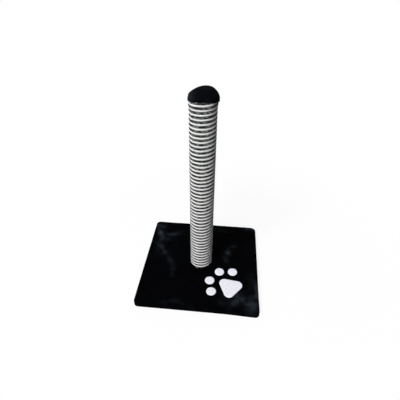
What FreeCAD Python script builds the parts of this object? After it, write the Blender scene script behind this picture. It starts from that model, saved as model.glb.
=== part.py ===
# Cat scratching post: a plush-covered square base with a paw applique, a post wound with a
# light and a dark rope, and a padded plush cap. Millimetres, +Z up, the front faces -Y.
# The origin lies on the floor, under the middle of the base.
import FreeCAD, Part
import math
import os

import Sketcher
from FreeCAD import Vector

DOC = FreeCAD.newDocument("scratching_post")
SHEET = DOC.addObject("Spreadsheet::Sheet", "sizes")

SIZES = (
    ("base_side", 380, "side of the square base, over the plush"),
    ("base_corner", 18, "corner radius of the base in plan, over the plush"),
    ("board_thick", 15, "fibreboard inside the base"),
    ("board_round", 1, "eased edges of the board"),
    ("plush_thick", 2.5, "plush with its pile, on the base and the cap"),
    ("plush_round", 4, "soft bend of the plush round the top edge"),
    ("hem_thick", 1.5, "plush pressed flat under the board"),
    ("hem_width", 34, "how far the plush is turned under, from its outer edge"),
    ("hem_round", 2.5, "bend of the plush round the floor edge"),
    ("seat_depth", 1.5, "how far the post presses into the pile"),
    ("seat_clear", 0.4, "room round the ropes in that hollow"),
    ("paw_x", 8.3, "from midway between the tube and the right edge, left to the large pad's middle"),
    ("paw_y", 6.5, "from midway between the tube and the front edge, back to the same place"),
    ("paw_turn", 52.5, "degrees from +Y to the paw's axis"),
    ("paw_thick", 2.5, "applique cloth with its pile"),
    ("paw_round", 1.2, "soft upper edge of the applique"),
    ("pad_flat", 29, "from the middle of the large pad to each flat side"),
    ("pad_corner", 17, "corner radius of the large pad"),
    ("toe_dia", 32.6, "round toes of the paw"),
    ("inner_toe_reach", 69.8, "from the pad's middle to the two inner toes"),
    ("inner_toe_spread", 20.4, "degrees from the paw's axis to an inner toe"),
    ("outer_toe_reach", 63.1, "from the pad's middle to the two outer toes"),
    ("outer_toe_spread", 58, "degrees from the paw's axis to an outer toe"),
    ("tube_dia", 60, "cardboard tube of the post"),
    ("tube_wall", 3.5, "wall of the tube"),
    ("tube_length", 576.5, "length of the tube"),
    ("plug_thick", 18, "fibreboard plugs in the ends of the tube"),
    ("plug_clear", 0.1, "room between a plug and the tube"),
    ("plug_chamfer", 1.5, "lead-in chamfer of a plug"),
    ("brad_dia", 1.6, "brads that hold the plugs"),
    ("brad_length", 14, "shank of a brad"),
    ("brad_head_dia", 3.2, "head of a brad"),
    ("brad_head_thick", 0.6, "head of a brad, sunk flush with the tube"),
    ("brad_height", 7, "from the outer face of a plug to its brads"),
    ("brad_turn", 45, "degrees from +X to the first brad"),
    ("brad_count", 4, "brads in each plug"),
    ("rope_dia", 5.6, "each of the two ropes"),
    ("rope_gap", 0.4, "between neighbouring turns"),
    ("rope_clear", 0.25, "between the ropes and what they are wound on"),
    ("rope_stop", 2.5, "from the top of the tube down to the last turn"),
    ("rope_start", 240, "degrees from +X to the lower end of the dark rope"),
    ("cap_overhang", 2.15, "how far the cap stands out past the ropes"),
    ("cap_rise", 21.7, "height of the cap above its lip"),
    ("cap_lip", 4, "round of the cap under its widest line"),
    ("cap_shoulder", 10, "round of the cap over its widest line"),
    ("cap_clear", 0.3, "between the cap's lip and the last turn of rope"),
    ("skirt_length", 14, "plush of the cap that goes under the ropes"),
    ("skirt_thick", 1.4, "the same plush, pressed flat by the ropes"),
    ("skirt_clear", 0.2, "between the skirt and the tube"),
    ("bolt_dia", 8, "bolt that holds the post"),
    ("bolt_length", 30, "shank of the bolt"),
    ("bolt_flats", 13, "across the flats of its head"),
    ("bolt_head", 5.3, "height of its head"),
    ("bolt_tip", 1, "chamfer at its tip"),
    ("bolt_clear", 0.5, "between the bolt and the board"),
    ("recess_depth", 8.5, "recess in the board for the washer and the bolt's head"),
    ("recess_clear", 1.5, "between the washer and that recess"),
    ("washer_dia", 24, "wide washer under the head"),
    ("washer_clear", 0.2, "between the bolt and the washer"),
    ("washer_thick", 2, "washer"),
    ("nut_clear", 0.05, "between the bolt and the tee nut"),
    ("barrel_wall", 0.95, "wall of the tee nut's barrel"),
    ("barrel_length", 12, "barrel of the tee nut"),
    ("barrel_clear", 0.1, "between the barrel and the plug"),
    ("flange_dia", 22, "flange of the tee nut"),
    ("flange_thick", 1.5, "flange of the tee nut"),
    ("prong_length", 6, "prongs of the tee nut"),
    ("prong_width", 4, "prongs of the tee nut, at the flange"),
    ("prong_thick", 1.4, "prongs of the tee nut"),
    ("prong_count", 4, "prongs of the tee nut"),
    ("staple_wire", 0.7, "thickness and width of a staple's wire"),
    ("staple_crown", 10, "width of a staple"),
    ("staple_sink", 0.3, "how deep the crowns lie in the hem"),
    ("hem_staple_leg", 10, "length of a staple in the base"),
    ("hem_staple_inset", 26, "from the outer edge of the base to its staples"),
    ("hem_staple_span", 250, "from the first staple of a side to the last"),
    ("hem_staple_count", 6, "staples along each side of the base"),
    ("cap_staple_leg", 8, "length of a staple in the cap's skirt"),
    ("cap_staple_height", 9, "from the cap's lip down to its staples"),
    ("cap_staple_count", 6, "staples round the cap's skirt"),
)

# Heights and radii that several pieces share, worked out from the sizes.
BASE_TOP = "(sizes.hem_thick + sizes.board_thick + sizes.plush_thick)"
BOARD_SIDE = "(sizes.base_side - 2 * sizes.plush_thick)"
BOARD_CORNER = "(sizes.base_corner - sizes.plush_thick)"
SEAT = f"({BASE_TOP} - sizes.seat_depth)"
TUBE_RADIUS = "(sizes.tube_dia / 2)"
PAW_MIDWAY = f"((sizes.base_side / 2 + {TUBE_RADIUS}) / 2)"
PAW_X = f"({PAW_MIDWAY} - sizes.paw_x)"
PAW_Y = f"(sizes.paw_y - {PAW_MIDWAY})"
TUBE_TOP = f"({SEAT} + sizes.tube_length)"
PLUG_DIA = "(sizes.tube_dia - 2 * sizes.tube_wall - 2 * sizes.plug_clear)"
POST_RADIUS = f"({TUBE_RADIUS} + sizes.rope_clear + sizes.rope_dia)"
ROPE_TOP = f"({TUBE_TOP} - sizes.rope_stop)"
LIP = f"({ROPE_TOP} + sizes.cap_clear)"
CAP_RADIUS = f"({POST_RADIUS} + sizes.cap_overhang)"
SKIRT_INSIDE = f"({TUBE_RADIUS} + sizes.skirt_clear)"
SKIRT_OUTSIDE = f"({SKIRT_INSIDE} + sizes.skirt_thick)"
WASHER_FLOOR = "(sizes.hem_thick + sizes.recess_depth - sizes.washer_thick)"
BOLT_HOLE = "(sizes.bolt_dia + 2 * sizes.bolt_clear)"
NUT_BORE = "(sizes.bolt_dia + 2 * sizes.nut_clear)"
BARREL_DIA = f"({NUT_BORE} + 2 * sizes.barrel_wall)"

# Steps and allowances of the modelling itself.
QUARTER_TURN = 0.25
POINTS_PER_TURN = 24
VOLUME_SLACK = 0.001
TOUCH = 1e-6
HEAD_BEVEL = "30 deg"


def fill_sheet():
    """Writes every size with its note and alias to the sheet."""
    for row, (alias, number, note) in enumerate(SIZES, 1):
        SHEET.set(f"A{row}", note)
        SHEET.set(f"B{row}", str(number))
        SHEET.setAlias(f"B{row}", alias)
    DOC.recompute()


def value(expression):
    """The number that an expression over the sheet gives."""
    return float(SHEET.evalExpression(expression))


def new_body(label, floor="0"):
    """A body whose own zero lies at the given height."""
    body = DOC.addObject("PartDesign::Body", label)
    body.setExpression("Placement.Base.z", floor)
    return body


def origin_item(body, role):
    """One of a body's origin planes or axes."""
    return next(item for item in body.Origin.OriginFeatures if item.Role == role)


def new_sketch(body, name, plane="XY_Plane", offset="0"):
    """A sketch on one of the body's origin planes, moved along that plane's normal."""
    sketch = body.newObject("Sketcher::SketchObject", name)
    sketch.AttachmentSupport = [(origin_item(body, plane), "")]
    sketch.MapMode = "FlatFace"
    sketch.setExpression("AttachmentOffset.Base.z", offset)
    return sketch


def bind(sketch, constraint, expression):
    """Adds a constraint whose value follows an expression."""
    index = sketch.addConstraint(constraint)
    sketch.setExpression(f"Constraints[{index}]", expression)


def draw_circle(sketch, diameter):
    """A circle round the sketch's origin."""
    radius = value(diameter) / 2
    index = sketch.addGeometry(Part.Circle(Vector(), Vector(0, 0, 1), radius))
    sketch.addConstraint(Sketcher.Constraint("Coincident", index, 3, -1, 1))
    bind(sketch, Sketcher.Constraint("Diameter", index, 2 * radius), diameter)


def draw_polygon(sketch, corners):
    """A closed outline of straight sides through corners given as pairs of expressions."""
    spots = [Vector(value(across), value(up), 0) for across, up in corners]
    count = len(spots)
    for index in range(count):
        sketch.addGeometry(Part.LineSegment(spots[index], spots[(index + 1) % count]))
    for index, (across, up) in enumerate(corners):
        sketch.addConstraint(Sketcher.Constraint("Coincident", index, 2, (index + 1) % count, 1))
        bind(sketch, Sketcher.Constraint("DistanceX", -1, 1, index, 1, spots[index].x), across)
        bind(sketch, Sketcher.Constraint("DistanceY", -1, 1, index, 1, spots[index].y), up)


def regular_corners(count, radius, first_angle):
    """Corners of a regular polygon, for draw_polygon."""
    angles = [f"({first_angle + 360 * index / count} deg)" for index in range(count)]
    return [(f"{radius} * cos{angle}", f"{radius} * sin{angle}") for angle in angles]


def add_pad(body, sketch, name, length, side="One side", downward=False):
    """Pads a sketch by a length."""
    pad = body.newObject("PartDesign::Pad", name)
    pad.Profile = (sketch, [""])
    pad.SideType = side
    pad.Reversed = downward
    pad.setExpression("Length", length)
    body.Tip = pad
    return pad


def add_pocket(body, sketch, name, length=None, upward=False):
    """Cuts a sketch out of the body, right through where no length is given."""
    DOC.recompute()
    before = body.Shape.Volume
    pocket = body.newObject("PartDesign::Pocket", name)
    pocket.Profile = (sketch, [""])
    pocket.Reversed = upward
    if length is None:
        pocket.Type = "ThroughAll"
    else:
        pocket.setExpression("Length", length)
    body.Tip = pocket
    DOC.recompute()
    if body.Shape.Volume >= before:
        raise RuntimeError(f"{name} cuts nothing")
    return pocket


def dress_edges(body, kind, name, choose, size):
    """A fillet or chamfer on the edges of the body that a test chooses."""
    DOC.recompute()
    base = body.Tip
    names = [f"Edge{index}" for index, edge in enumerate(base.Shape.Edges, 1) if choose(edge)]
    feature = body.newObject(f"PartDesign::{kind}", name)
    feature.Base = (base, names)
    feature.setExpression("Radius" if kind == "Fillet" else "Size", size)
    body.Tip = feature
    return feature


def is_upright(edge):
    """True for a straight edge along Z."""
    box = edge.BoundBox
    return box.XLength < TOUCH and box.YLength < TOUCH


def lies_at(height):
    """A test for edges that lie flat at a height of the body's own."""
    level = value(height)

    def choose(edge):
        box = edge.BoundBox
        return abs(box.ZMin - level) < TOUCH and abs(box.ZMax - level) < TOUCH

    return choose


def add_polar(body, count):
    """Repeats the whole body round its Z axis."""
    DOC.recompute()
    pattern = body.newObject("PartDesign::PolarPattern", body.Label + "_round")
    pattern.TransformMode = "Whole shape"
    pattern.Axis = (origin_item(body, "Z_Axis"), [""])
    pattern.Angle = 360
    pattern.setExpression("Occurrences", count)
    body.Tip = pattern
    return pattern


def cut(label, base, *tools):
    """A piece with other pieces' room taken out of it, one after the other."""
    for index, tool in enumerate(tools):
        last = index == len(tools) - 1
        piece = DOC.addObject("Part::Cut", label if last else f"{label}_cut_{index}")
        piece.Base = base
        piece.Tool = tool
        base = piece
    return base


def plate(label, floor, corners, thick, corner_radius, top_round=None, floor_round=None):
    """A flat piece with rounded corners in plan and softened rims."""
    body = new_body(label, floor)
    outline = new_sketch(body, label + "_outline")
    draw_polygon(outline, corners)
    add_pad(body, outline, label + "_pad", thick)
    dress_edges(body, "Fillet", label + "_corners", is_upright, corner_radius)
    if top_round:
        dress_edges(body, "Fillet", label + "_top", lies_at(thick), top_round)
    if floor_round:
        dress_edges(body, "Fillet", label + "_floor", lies_at("0"), floor_round)
    return body


def square_corners(side):
    """Corners of a square round the origin, for draw_polygon."""
    half = f"{side} / 2"
    return [(f"-{half}", f"-{half}"), (half, f"-{half}"), (half, half), (f"-{half}", half)]


def ring(label, floor, outside, inside, length):
    """A round tube or washer."""
    body = new_body(label, floor)
    section = new_sketch(body, label + "_section")
    draw_circle(section, outside)
    draw_circle(section, inside)
    add_pad(body, section, label + "_pad", length)
    return body


def board_slab(label):
    """The base board before it is drilled."""
    return plate(label, "sizes.hem_thick", square_corners(BOARD_SIDE), "sizes.board_thick",
                 BOARD_CORNER, "sizes.board_round", "sizes.board_round")


def base_board(staples):
    """The board, with the bolt's hole and the recess for its head from below."""
    body = board_slab("board_drilled")
    recess = new_sketch(body, "bolt_recess")
    draw_circle(recess, "sizes.washer_dia + 2 * sizes.recess_clear")
    add_pocket(body, recess, "bolt_recess_cut", "sizes.recess_depth", upward=True)
    hole = new_sketch(body, "bolt_hole")
    draw_circle(hole, BOLT_HOLE)
    add_pocket(body, hole, "bolt_hole_cut", upward=True)
    return cut("base_board", body, staples)


def base_cover(staples):
    """The plush over the board: top, sides and a hem turned under, with the post's seat."""
    body = plate("cover_outside", "0", square_corners("sizes.base_side"), BASE_TOP,
                 "sizes.base_corner", "sizes.plush_round", "sizes.hem_round")
    opening = new_sketch(body, "hem_opening")
    draw_polygon(opening, square_corners("(sizes.base_side - 2 * sizes.hem_width)"))
    add_pocket(body, opening, "hem_opening_cut", "sizes.hem_thick", upward=True)
    seat = new_sketch(body, "post_seat", offset=BASE_TOP)
    draw_circle(seat, f"2 * ({POST_RADIUS} + sizes.seat_clear)")
    add_pocket(body, seat, "post_seat_cut", "sizes.seat_depth")
    hole = new_sketch(body, "cover_hole")
    draw_circle(hole, BOLT_HOLE)
    add_pocket(body, hole, "cover_hole_cut", upward=True)
    slots = hem_staple_row("staple_slots", "0", "(sizes.staple_sink + sizes.staple_wire)", None)
    return cut("base_cover", body, board_slab("board_room"), slots, staples)


def hem_staple_row(label, floor, crown, leg):
    """One staple, or the slot of its crown where leg is None, along all four sides."""
    body = new_body(label, floor)
    start = "(-sizes.hem_staple_span / 2)"
    profile = new_sketch(body, label + "_profile", "XZ_Plane",
                         "sizes.base_side / 2 - sizes.hem_staple_inset")
    left = f"({start} - sizes.staple_crown / 2)"
    right = f"({start} + sizes.staple_crown / 2)"
    if leg is None:
        draw_polygon(profile, [(left, "0"), (right, "0"), (right, crown), (left, crown)])
    else:
        inner_left = f"{left} + sizes.staple_wire"
        inner_right = f"{right} - sizes.staple_wire"
        draw_polygon(profile, [(left, "0"), (right, "0"), (right, leg), (inner_right, leg),
                               (inner_right, crown), (inner_left, crown), (inner_left, leg),
                               (left, leg)])
    pad = add_pad(body, profile, label + "_pad", "sizes.staple_wire", side="Symmetric")
    DOC.recompute()
    row = body.newObject("PartDesign::LinearPattern", label + "_row")
    row.Originals = [pad]
    row.Direction = (profile, ["H_Axis"])
    row.setExpression("Length", "sizes.hem_staple_span")
    row.setExpression("Occurrences", "sizes.hem_staple_count")
    body.Tip = row
    add_polar(body, "4")
    return body


def base_staples():
    """Staples that hold the hem to the board."""
    return hem_staple_row("base_staples", "sizes.staple_sink", "sizes.staple_wire",
                          "sizes.hem_staple_leg")


def paw_pad():
    """Large pad of the paw: a triangle with big round corners, one of them on the paw's axis."""
    body = plate("paw_pad", BASE_TOP, regular_corners(3, "(2 * sizes.pad_flat)", 90),
                 "sizes.paw_thick", "sizes.pad_corner", "sizes.paw_round")
    body.setExpression("Placement.Base.x", PAW_X)
    body.setExpression("Placement.Base.y", PAW_Y)
    body.setExpression("Placement.Rotation.Angle", "sizes.paw_turn * 1 deg")
    return body


def paw_toe(label, reach, turn):
    """One round toe, a reach from the pad's middle and turned from the paw's axis."""
    body = new_body(label, BASE_TOP)
    outline = new_sketch(body, label + "_outline")
    draw_circle(outline, "sizes.toe_dia")
    add_pad(body, outline, label + "_pad", "sizes.paw_thick")
    dress_edges(body, "Fillet", label + "_top", lies_at("sizes.paw_thick"), "sizes.paw_round")
    angle = f"((sizes.paw_turn + {turn}) * 1 deg)"
    body.setExpression("Placement.Base.x", f"{PAW_X} - {reach} * sin{angle}")
    body.setExpression("Placement.Base.y", f"{PAW_Y} + {reach} * cos{angle}")
    return body


def paw_toes():
    """The four toes, in a fan round the pad."""
    return [paw_toe(f"paw_toe_{rank}_{side}", f"sizes.{rank}_toe_reach",
                    f"{sign} * sizes.{rank}_toe_spread")
            for rank in ("inner", "outer")
            for side, sign in (("left", 1), ("right", -1))]


def plug_disc(label, floor):
    """A round plug with chamfered rims."""
    body = new_body(label, floor)
    outline = new_sketch(body, label + "_outline")
    draw_circle(outline, PLUG_DIA)
    add_pad(body, outline, label + "_pad", "sizes.plug_thick")
    dress_edges(body, "Chamfer", label + "_rims", lambda edge: not is_upright(edge),
                "sizes.plug_chamfer")
    return body


def lower_plug(nut, brads):
    """The plug that takes the tee nut from above."""
    body = plug_disc("lower_plug_drilled", SEAT)
    hole = new_sketch(body, "barrel_hole")
    draw_circle(hole, f"{BARREL_DIA} + 2 * sizes.barrel_clear")
    add_pocket(body, hole, "barrel_hole_cut", upward=True)
    return cut("lower_plug", body, nut, brads)


def plug_brads(label, height):
    """Brads driven through the tube into a plug, with flush heads."""
    body = new_body(label, height)
    body.setExpression("Placement.Rotation.Angle", "sizes.brad_turn * 1 deg")
    under_head = f"({TUBE_RADIUS} - sizes.brad_head_thick)"
    head = new_sketch(body, label + "_head", "YZ_Plane", under_head)
    draw_circle(head, "sizes.brad_head_dia")
    add_pad(body, head, label + "_head_pad", "sizes.brad_head_thick")
    shank = new_sketch(body, label + "_shank", "YZ_Plane", under_head)
    draw_circle(shank, "sizes.brad_dia")
    add_pad(body, shank, label + "_shank_pad", "sizes.brad_length", downward=True)
    add_polar(body, "sizes.brad_count")
    return body


def tee_nut():
    """Tee nut with its flange on the plug, its barrel in the plug and its prongs driven in."""
    body = new_body("tee_nut", f"{SEAT} + sizes.plug_thick")
    rim = "(sizes.flange_dia / 2 - sizes.prong_thick / 2)"
    back = f"({rim} - sizes.prong_width)"
    prong = new_sketch(body, "prong", "XZ_Plane")
    draw_polygon(prong, [(rim, "sizes.flange_thick"), (back, "sizes.flange_thick"), (back, "0"),
                         (f"({rim} + {back}) / 2", "-sizes.prong_length"), (rim, "0")])
    add_pad(body, prong, "prong_pad", "sizes.prong_thick", side="Symmetric")
    add_polar(body, "sizes.prong_count")
    flange = new_sketch(body, "flange")
    draw_circle(flange, "sizes.flange_dia")
    draw_circle(flange, NUT_BORE)
    add_pad(body, flange, "flange_pad", "sizes.flange_thick")
    barrel = new_sketch(body, "barrel")
    draw_circle(barrel, BARREL_DIA)
    draw_circle(barrel, NUT_BORE)
    add_pad(body, barrel, "barrel_pad", "sizes.barrel_length", downward=True)
    return body


def post_bolt():
    """Hexagon bolt from below, with a chamfered head and tip."""
    body = new_body("post_bolt", f"{WASHER_FLOOR} - sizes.bolt_head")
    corner = "(sizes.bolt_flats / sqrt(3))"
    outline = new_sketch(body, "head_outline")
    draw_polygon(outline, regular_corners(6, corner, 0))
    add_pad(body, outline, "head_pad", "sizes.bolt_head")
    shank = new_sketch(body, "shank", offset="sizes.bolt_head")
    draw_circle(shank, "sizes.bolt_dia")
    add_pad(body, shank, "shank_pad", "sizes.bolt_length")
    dress_edges(body, "Chamfer", "tip", lies_at("sizes.bolt_head + sizes.bolt_length"),
                "sizes.bolt_tip")
    bevel = new_sketch(body, "head_bevel", "XZ_Plane")
    flat = "sizes.bolt_flats / 2"
    draw_polygon(bevel, [(flat, "0"), (corner, "0"), (corner, f"({corner} - {flat}) * tan({HEAD_BEVEL})")])
    DOC.recompute()
    before = body.Shape.Volume
    groove = body.newObject("PartDesign::Groove", "head_bevel_cut")
    groove.Profile = (bevel, [""])
    groove.ReferenceAxis = (bevel, ["V_Axis"])
    groove.Angle = 360
    body.Tip = groove
    DOC.recompute()
    if body.Shape.Volume >= before:
        raise RuntimeError("the bolt's head is not bevelled")
    return body


def dome(label, floor, radius, rise, lip, shoulder):
    """A revolved cushion: flat below, a small round under its widest line, a larger one over it
    and one wide arc across the crown."""
    body = new_body(label, floor)
    sketch = new_sketch(body, label + "_profile", "XZ_Plane")
    wide, high, low, turn = (value(size) for size in (radius, rise, lip, shoulder))
    across = wide - turn
    up = high - low
    crown = (across ** 2 + up ** 2 - turn ** 2) / (2 * (up - turn))
    bend = math.atan2(low - high + crown, across)
    normal = Vector(0, 0, 1)
    floor_line, lip_arc, shoulder_arc, crown_arc, axis_line = range(5)
    sketch.addGeometry(Part.LineSegment(Vector(), Vector(wide - low, 0, 0)))
    sketch.addGeometry(Part.ArcOfCircle(Part.Circle(Vector(wide - low, low, 0), normal, low),
                                        -math.pi / 2, 0))
    sketch.addGeometry(Part.ArcOfCircle(Part.Circle(Vector(across, low, 0), normal, turn), 0, bend))
    sketch.addGeometry(Part.ArcOfCircle(Part.Circle(Vector(0, high - crown, 0), normal, crown),
                                        bend, math.pi / 2))
    sketch.addGeometry(Part.LineSegment(Vector(0, high, 0), Vector()))
    sketch.addConstraint([
        Sketcher.Constraint("Coincident", floor_line, 1, -1, 1),
        Sketcher.Constraint("Horizontal", floor_line),
        Sketcher.Constraint("Tangent", floor_line, 2, lip_arc, 1),
        Sketcher.Constraint("Tangent", lip_arc, 2, shoulder_arc, 1),
        Sketcher.Constraint("Tangent", shoulder_arc, 2, crown_arc, 1),
        Sketcher.Constraint("Coincident", crown_arc, 2, axis_line, 1),
        Sketcher.Constraint("Coincident", axis_line, 2, -1, 1),
        Sketcher.Constraint("Vertical", axis_line),
        Sketcher.Constraint("PointOnObject", crown_arc, 3, -2),
        Sketcher.Constraint("Horizontal", lip_arc, 3, lip_arc, 2),
    ])
    bind(sketch, Sketcher.Constraint("Radius", lip_arc, low), lip)
    bind(sketch, Sketcher.Constraint("Radius", shoulder_arc, turn), shoulder)
    bind(sketch, Sketcher.Constraint("DistanceX", -1, 1, lip_arc, 2, wide), radius)
    bind(sketch, Sketcher.Constraint("DistanceY", -1, 1, crown_arc, 2, high), rise)
    revolution = body.newObject("PartDesign::Revolution", label + "_turned")
    revolution.Profile = (sketch, [""])
    revolution.ReferenceAxis = (sketch, ["V_Axis"])
    revolution.Angle = 360
    body.Tip = revolution
    return body


def cap_padding():
    """Wadding on the end of the tube, one plush thickness inside the cap."""
    above = "(sizes.cap_clear - sizes.rope_stop)"
    return dome("cap_padding", TUBE_TOP, f"({CAP_RADIUS} - sizes.plush_thick)",
                f"({above} + sizes.cap_rise - sizes.plush_thick)", f"({above} + sizes.cap_lip)",
                "(sizes.cap_shoulder - sizes.plush_thick)")


def cap_cover(padding, staples):
    """Plush of the cap, with a skirt that goes down the tube under the ropes."""
    body = dome("cap_outside", LIP, CAP_RADIUS, "sizes.cap_rise", "sizes.cap_lip",
                "sizes.cap_shoulder")
    skirt = new_sketch(body, "skirt")
    draw_circle(skirt, f"2 * {SKIRT_OUTSIDE}")
    add_pad(body, skirt, "skirt_pad", "sizes.skirt_length", downward=True)
    room = DOC.addObject("Part::Cylinder", "tube_room")
    room.setExpression("Radius", SKIRT_INSIDE)
    room.setExpression("Height", f"{TUBE_TOP} - {LIP} + sizes.skirt_length")
    room.setExpression("Placement.Base.z", f"{LIP} - sizes.skirt_length")
    return cut("cap_cover", body, padding, room, staples)


def cap_staples():
    """Staples through the skirt and the tube into the upper plug, under the ropes."""
    body = new_body("cap_staples", f"{LIP} - sizes.cap_staple_height")
    profile = new_sketch(body, "cap_staple_profile")
    crown = f"sqrt({SKIRT_OUTSIDE} ^ 2 - (sizes.staple_crown / 2) ^ 2)"
    under = f"({crown} - sizes.staple_wire)"
    end = f"({crown} - sizes.cap_staple_leg)"
    side = "(sizes.staple_crown / 2)"
    inner = f"({side} - sizes.staple_wire)"
    draw_polygon(profile, [(crown, f"-{side}"), (crown, side), (end, side), (end, inner),
                           (under, inner), (under, f"-{inner}"), (end, f"-{inner}"),
                           (end, f"-{side}")])
    add_pad(body, profile, "cap_staple_pad", "sizes.staple_wire", side="Symmetric")
    add_polar(body, "sizes.cap_staple_count")
    return body


class Winding:
    """The line of one rope: a helix that steps out over the cap's skirt near its top."""

    def __init__(self, first_angle):
        self.first_angle = math.radians(first_angle)
        self.dia = value("sizes.rope_dia")
        self.lead = 2 * (self.dia + value("sizes.rope_gap"))
        half = self.dia / 2
        self.low = value(f"{SEAT} + sizes.rope_clear") + half
        self.turns = (value(ROPE_TOP) - half - self.low) / self.lead
        self.inside = value(f"{TUBE_RADIUS} + sizes.rope_clear") + half
        self.outside = value(f"{SKIRT_OUTSIDE} + sizes.rope_clear") + half
        self.step_end = value(f"{LIP} - sizes.skirt_length") - half

    def point(self, turn):
        """Centre of the rope after a number of turns from its lower end."""
        height = self.low + self.lead * turn
        share = min(max((height - self.step_end) / self.lead + 1, 0), 1)
        radius = self.inside + (self.outside - self.inside) * share * share * (3 - 2 * share)
        angle = self.first_angle + 2 * math.pi * turn
        return Vector(radius * math.cos(angle), radius * math.sin(angle), height)

    def heading(self, turn):
        """Direction of the rope there."""
        reach = 1e-4
        return (self.point(turn + reach) - self.point(turn - reach)).normalize()

    def wire(self, first, last):
        """Path from one turn to another: biarcs of about a quarter turn and straight ends."""
        steps = math.ceil((last - first) / QUARTER_TURN)
        turns = [first + (last - first) * index / steps for index in range(steps + 1)]
        stops = [(self.point(turn), self.heading(turn)) for turn in turns]
        start, start_way = stops[0]
        end, end_way = stops[-1]
        stops[0] = (start + start_way * self.dia, start_way)
        stops[-1] = (end - end_way * self.dia, end_way)
        edges = [Part.LineSegment(start, stops[0][0]).toShape()]
        for (here, way_here), (there, way_there) in zip(stops, stops[1:]):
            edges += biarc(here, way_here, there, way_there)
        edges.append(Part.LineSegment(stops[-1][0], end).toShape())
        return Part.Wire(edges)


def arc_from(start, way, end):
    """The arc that leaves a point in a direction and reaches another point."""
    chord = end - start
    along = Vector(chord).normalize()
    across = way - along * way.dot(along)
    rise = chord.Length / 2 * math.tan(way.getAngle(chord) / 2)
    middle = start + chord * 0.5 + across.normalize() * rise
    return Part.Arc(start, middle, end).toShape()


def biarc(start, way_out, end, way_in):
    """Two arcs that join two points in given directions and meet smoothly."""
    chord = end - start
    ways = way_out + way_in
    square = 2 * (1 - way_out.dot(way_in))
    lean = chord.dot(ways)
    arm = (math.sqrt(lean ** 2 + square * chord.dot(chord)) - lean) / square
    middle = (start + way_out * arm + end - way_in * arm) * 0.5
    way_middle = (end - way_in * arm - start - way_out * arm).normalize()
    return [arc_from(start, way_out, middle), arc_from(middle, way_middle, end)]


def rope(label, winding, first, last):
    """One stretch of a rope as a swept tube, with its volume and gaps tested."""
    path = winding.wire(first, last)
    radius = winding.dia / 2
    circle = Part.makeCircle(radius, winding.point(first), winding.heading(first))
    shell = Part.BRepOffsetAPI.MakePipeShell(path)
    shell.add(Part.Wire(circle))
    shell.build()
    shell.makeSolid()
    solid = shell.shape()
    expected = math.pi * radius ** 2 * path.Length
    if abs(solid.Volume / expected - 1) > VOLUME_SLACK:
        raise RuntimeError(f"{label} has a wrong volume")
    piece = DOC.addObject("Part::Feature", label)
    piece.Shape = solid
    points = path.discretize(Number=int(POINTS_PER_TURN * (last - first)))
    away = POINTS_PER_TURN // 2
    gap = min((points[one] - points[two]).Length for one in range(len(points))
              for two in range(one + away, len(points))) - winding.dia
    print(f"{label}: {last - first:.2f} turns, {path.Length:.0f} mm, least gap to itself {gap:.2f} mm")
    return piece


def ropes():
    """Both ropes, each in a lower and an upper stretch that meet face to face."""
    pieces = []
    for index, colour in enumerate(("dark", "light")):
        winding = Winding(value("sizes.rope_start") + 180 * index)
        middle = winding.turns / 2
        pieces.append(rope(f"rope_{colour}_lower", winding, 0, middle))
        pieces.append(rope(f"rope_{colour}_upper", winding, middle, winding.turns))
    return pieces


def build():
    """All pieces, in the order of assembly."""
    fill_sheet()
    hem_staples = base_staples()
    nut = tee_nut()
    lower_brads = plug_brads("lower_plug_brads", f"{SEAT} + sizes.brad_height")
    upper_brads = plug_brads("upper_plug_brads", f"{TUBE_TOP} - sizes.brad_height")
    skirt_staples = cap_staples()
    padding = cap_padding()
    tube = ring("tube_plain", SEAT, "sizes.tube_dia", "sizes.tube_dia - 2 * sizes.tube_wall",
                "sizes.tube_length")
    upper_disc = plug_disc("upper_plug_plain", f"{TUBE_TOP} - sizes.plug_thick")
    washer = ring("bolt_washer", WASHER_FLOOR, "sizes.washer_dia",
                  "sizes.bolt_dia + 2 * sizes.washer_clear", "sizes.washer_thick")
    return [
        base_board(hem_staples), base_cover(hem_staples), hem_staples,
        paw_pad(), *paw_toes(),
        post_bolt(), washer, nut,
        lower_plug(nut, lower_brads), lower_brads,
        cut("upper_plug", upper_disc, upper_brads, skirt_staples), upper_brads,
        cut("post_tube", tube, lower_brads, upper_brads, skirt_staples),
        *ropes(),
        padding, cap_cover(padding, skirt_staples), skirt_staples,
    ]


def export(pieces):
    """Checks every object of the document, then writes one file for each piece."""
    DOC.recompute()
    for item in DOC.Objects:
        if {"Invalid", "Error"} & set(item.State):
            raise RuntimeError(f"{item.Label} failed: {item.State}")
    for piece in pieces:
        if piece.Shape.isNull() or not piece.Shape.isValid():
            raise RuntimeError(f"{piece.Label} has no valid shape")
    os.makedirs("parts", exist_ok=True)
    for piece in pieces:
        piece.Shape.exportStep(f"parts/{piece.Label}.step")
        box = piece.Shape.BoundBox
        print(f"{piece.Label}: {len(piece.Shape.Solids)} solid, {piece.Shape.Volume:.1f} mm3, "
              f"z {box.ZMin:.2f} to {box.ZMax:.2f}")


export(build())
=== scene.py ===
"""Dressed model of a cat scratching post.

A square plush base with a paw applique carries a post wound with a light and a dark rope,
under a padded plush cap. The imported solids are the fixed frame, and the cloth, the ropes and
every finish are made here. Sizes in the classes are millimetres and angles are degrees, unless
a comment says otherwise; meshes are metres.
"""

from __future__ import annotations

import logging
import math
from dataclasses import dataclass, field
from enum import Enum
from typing import Any

import bpy
import numpy as np
from mathutils import Matrix, Vector, noise


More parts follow.
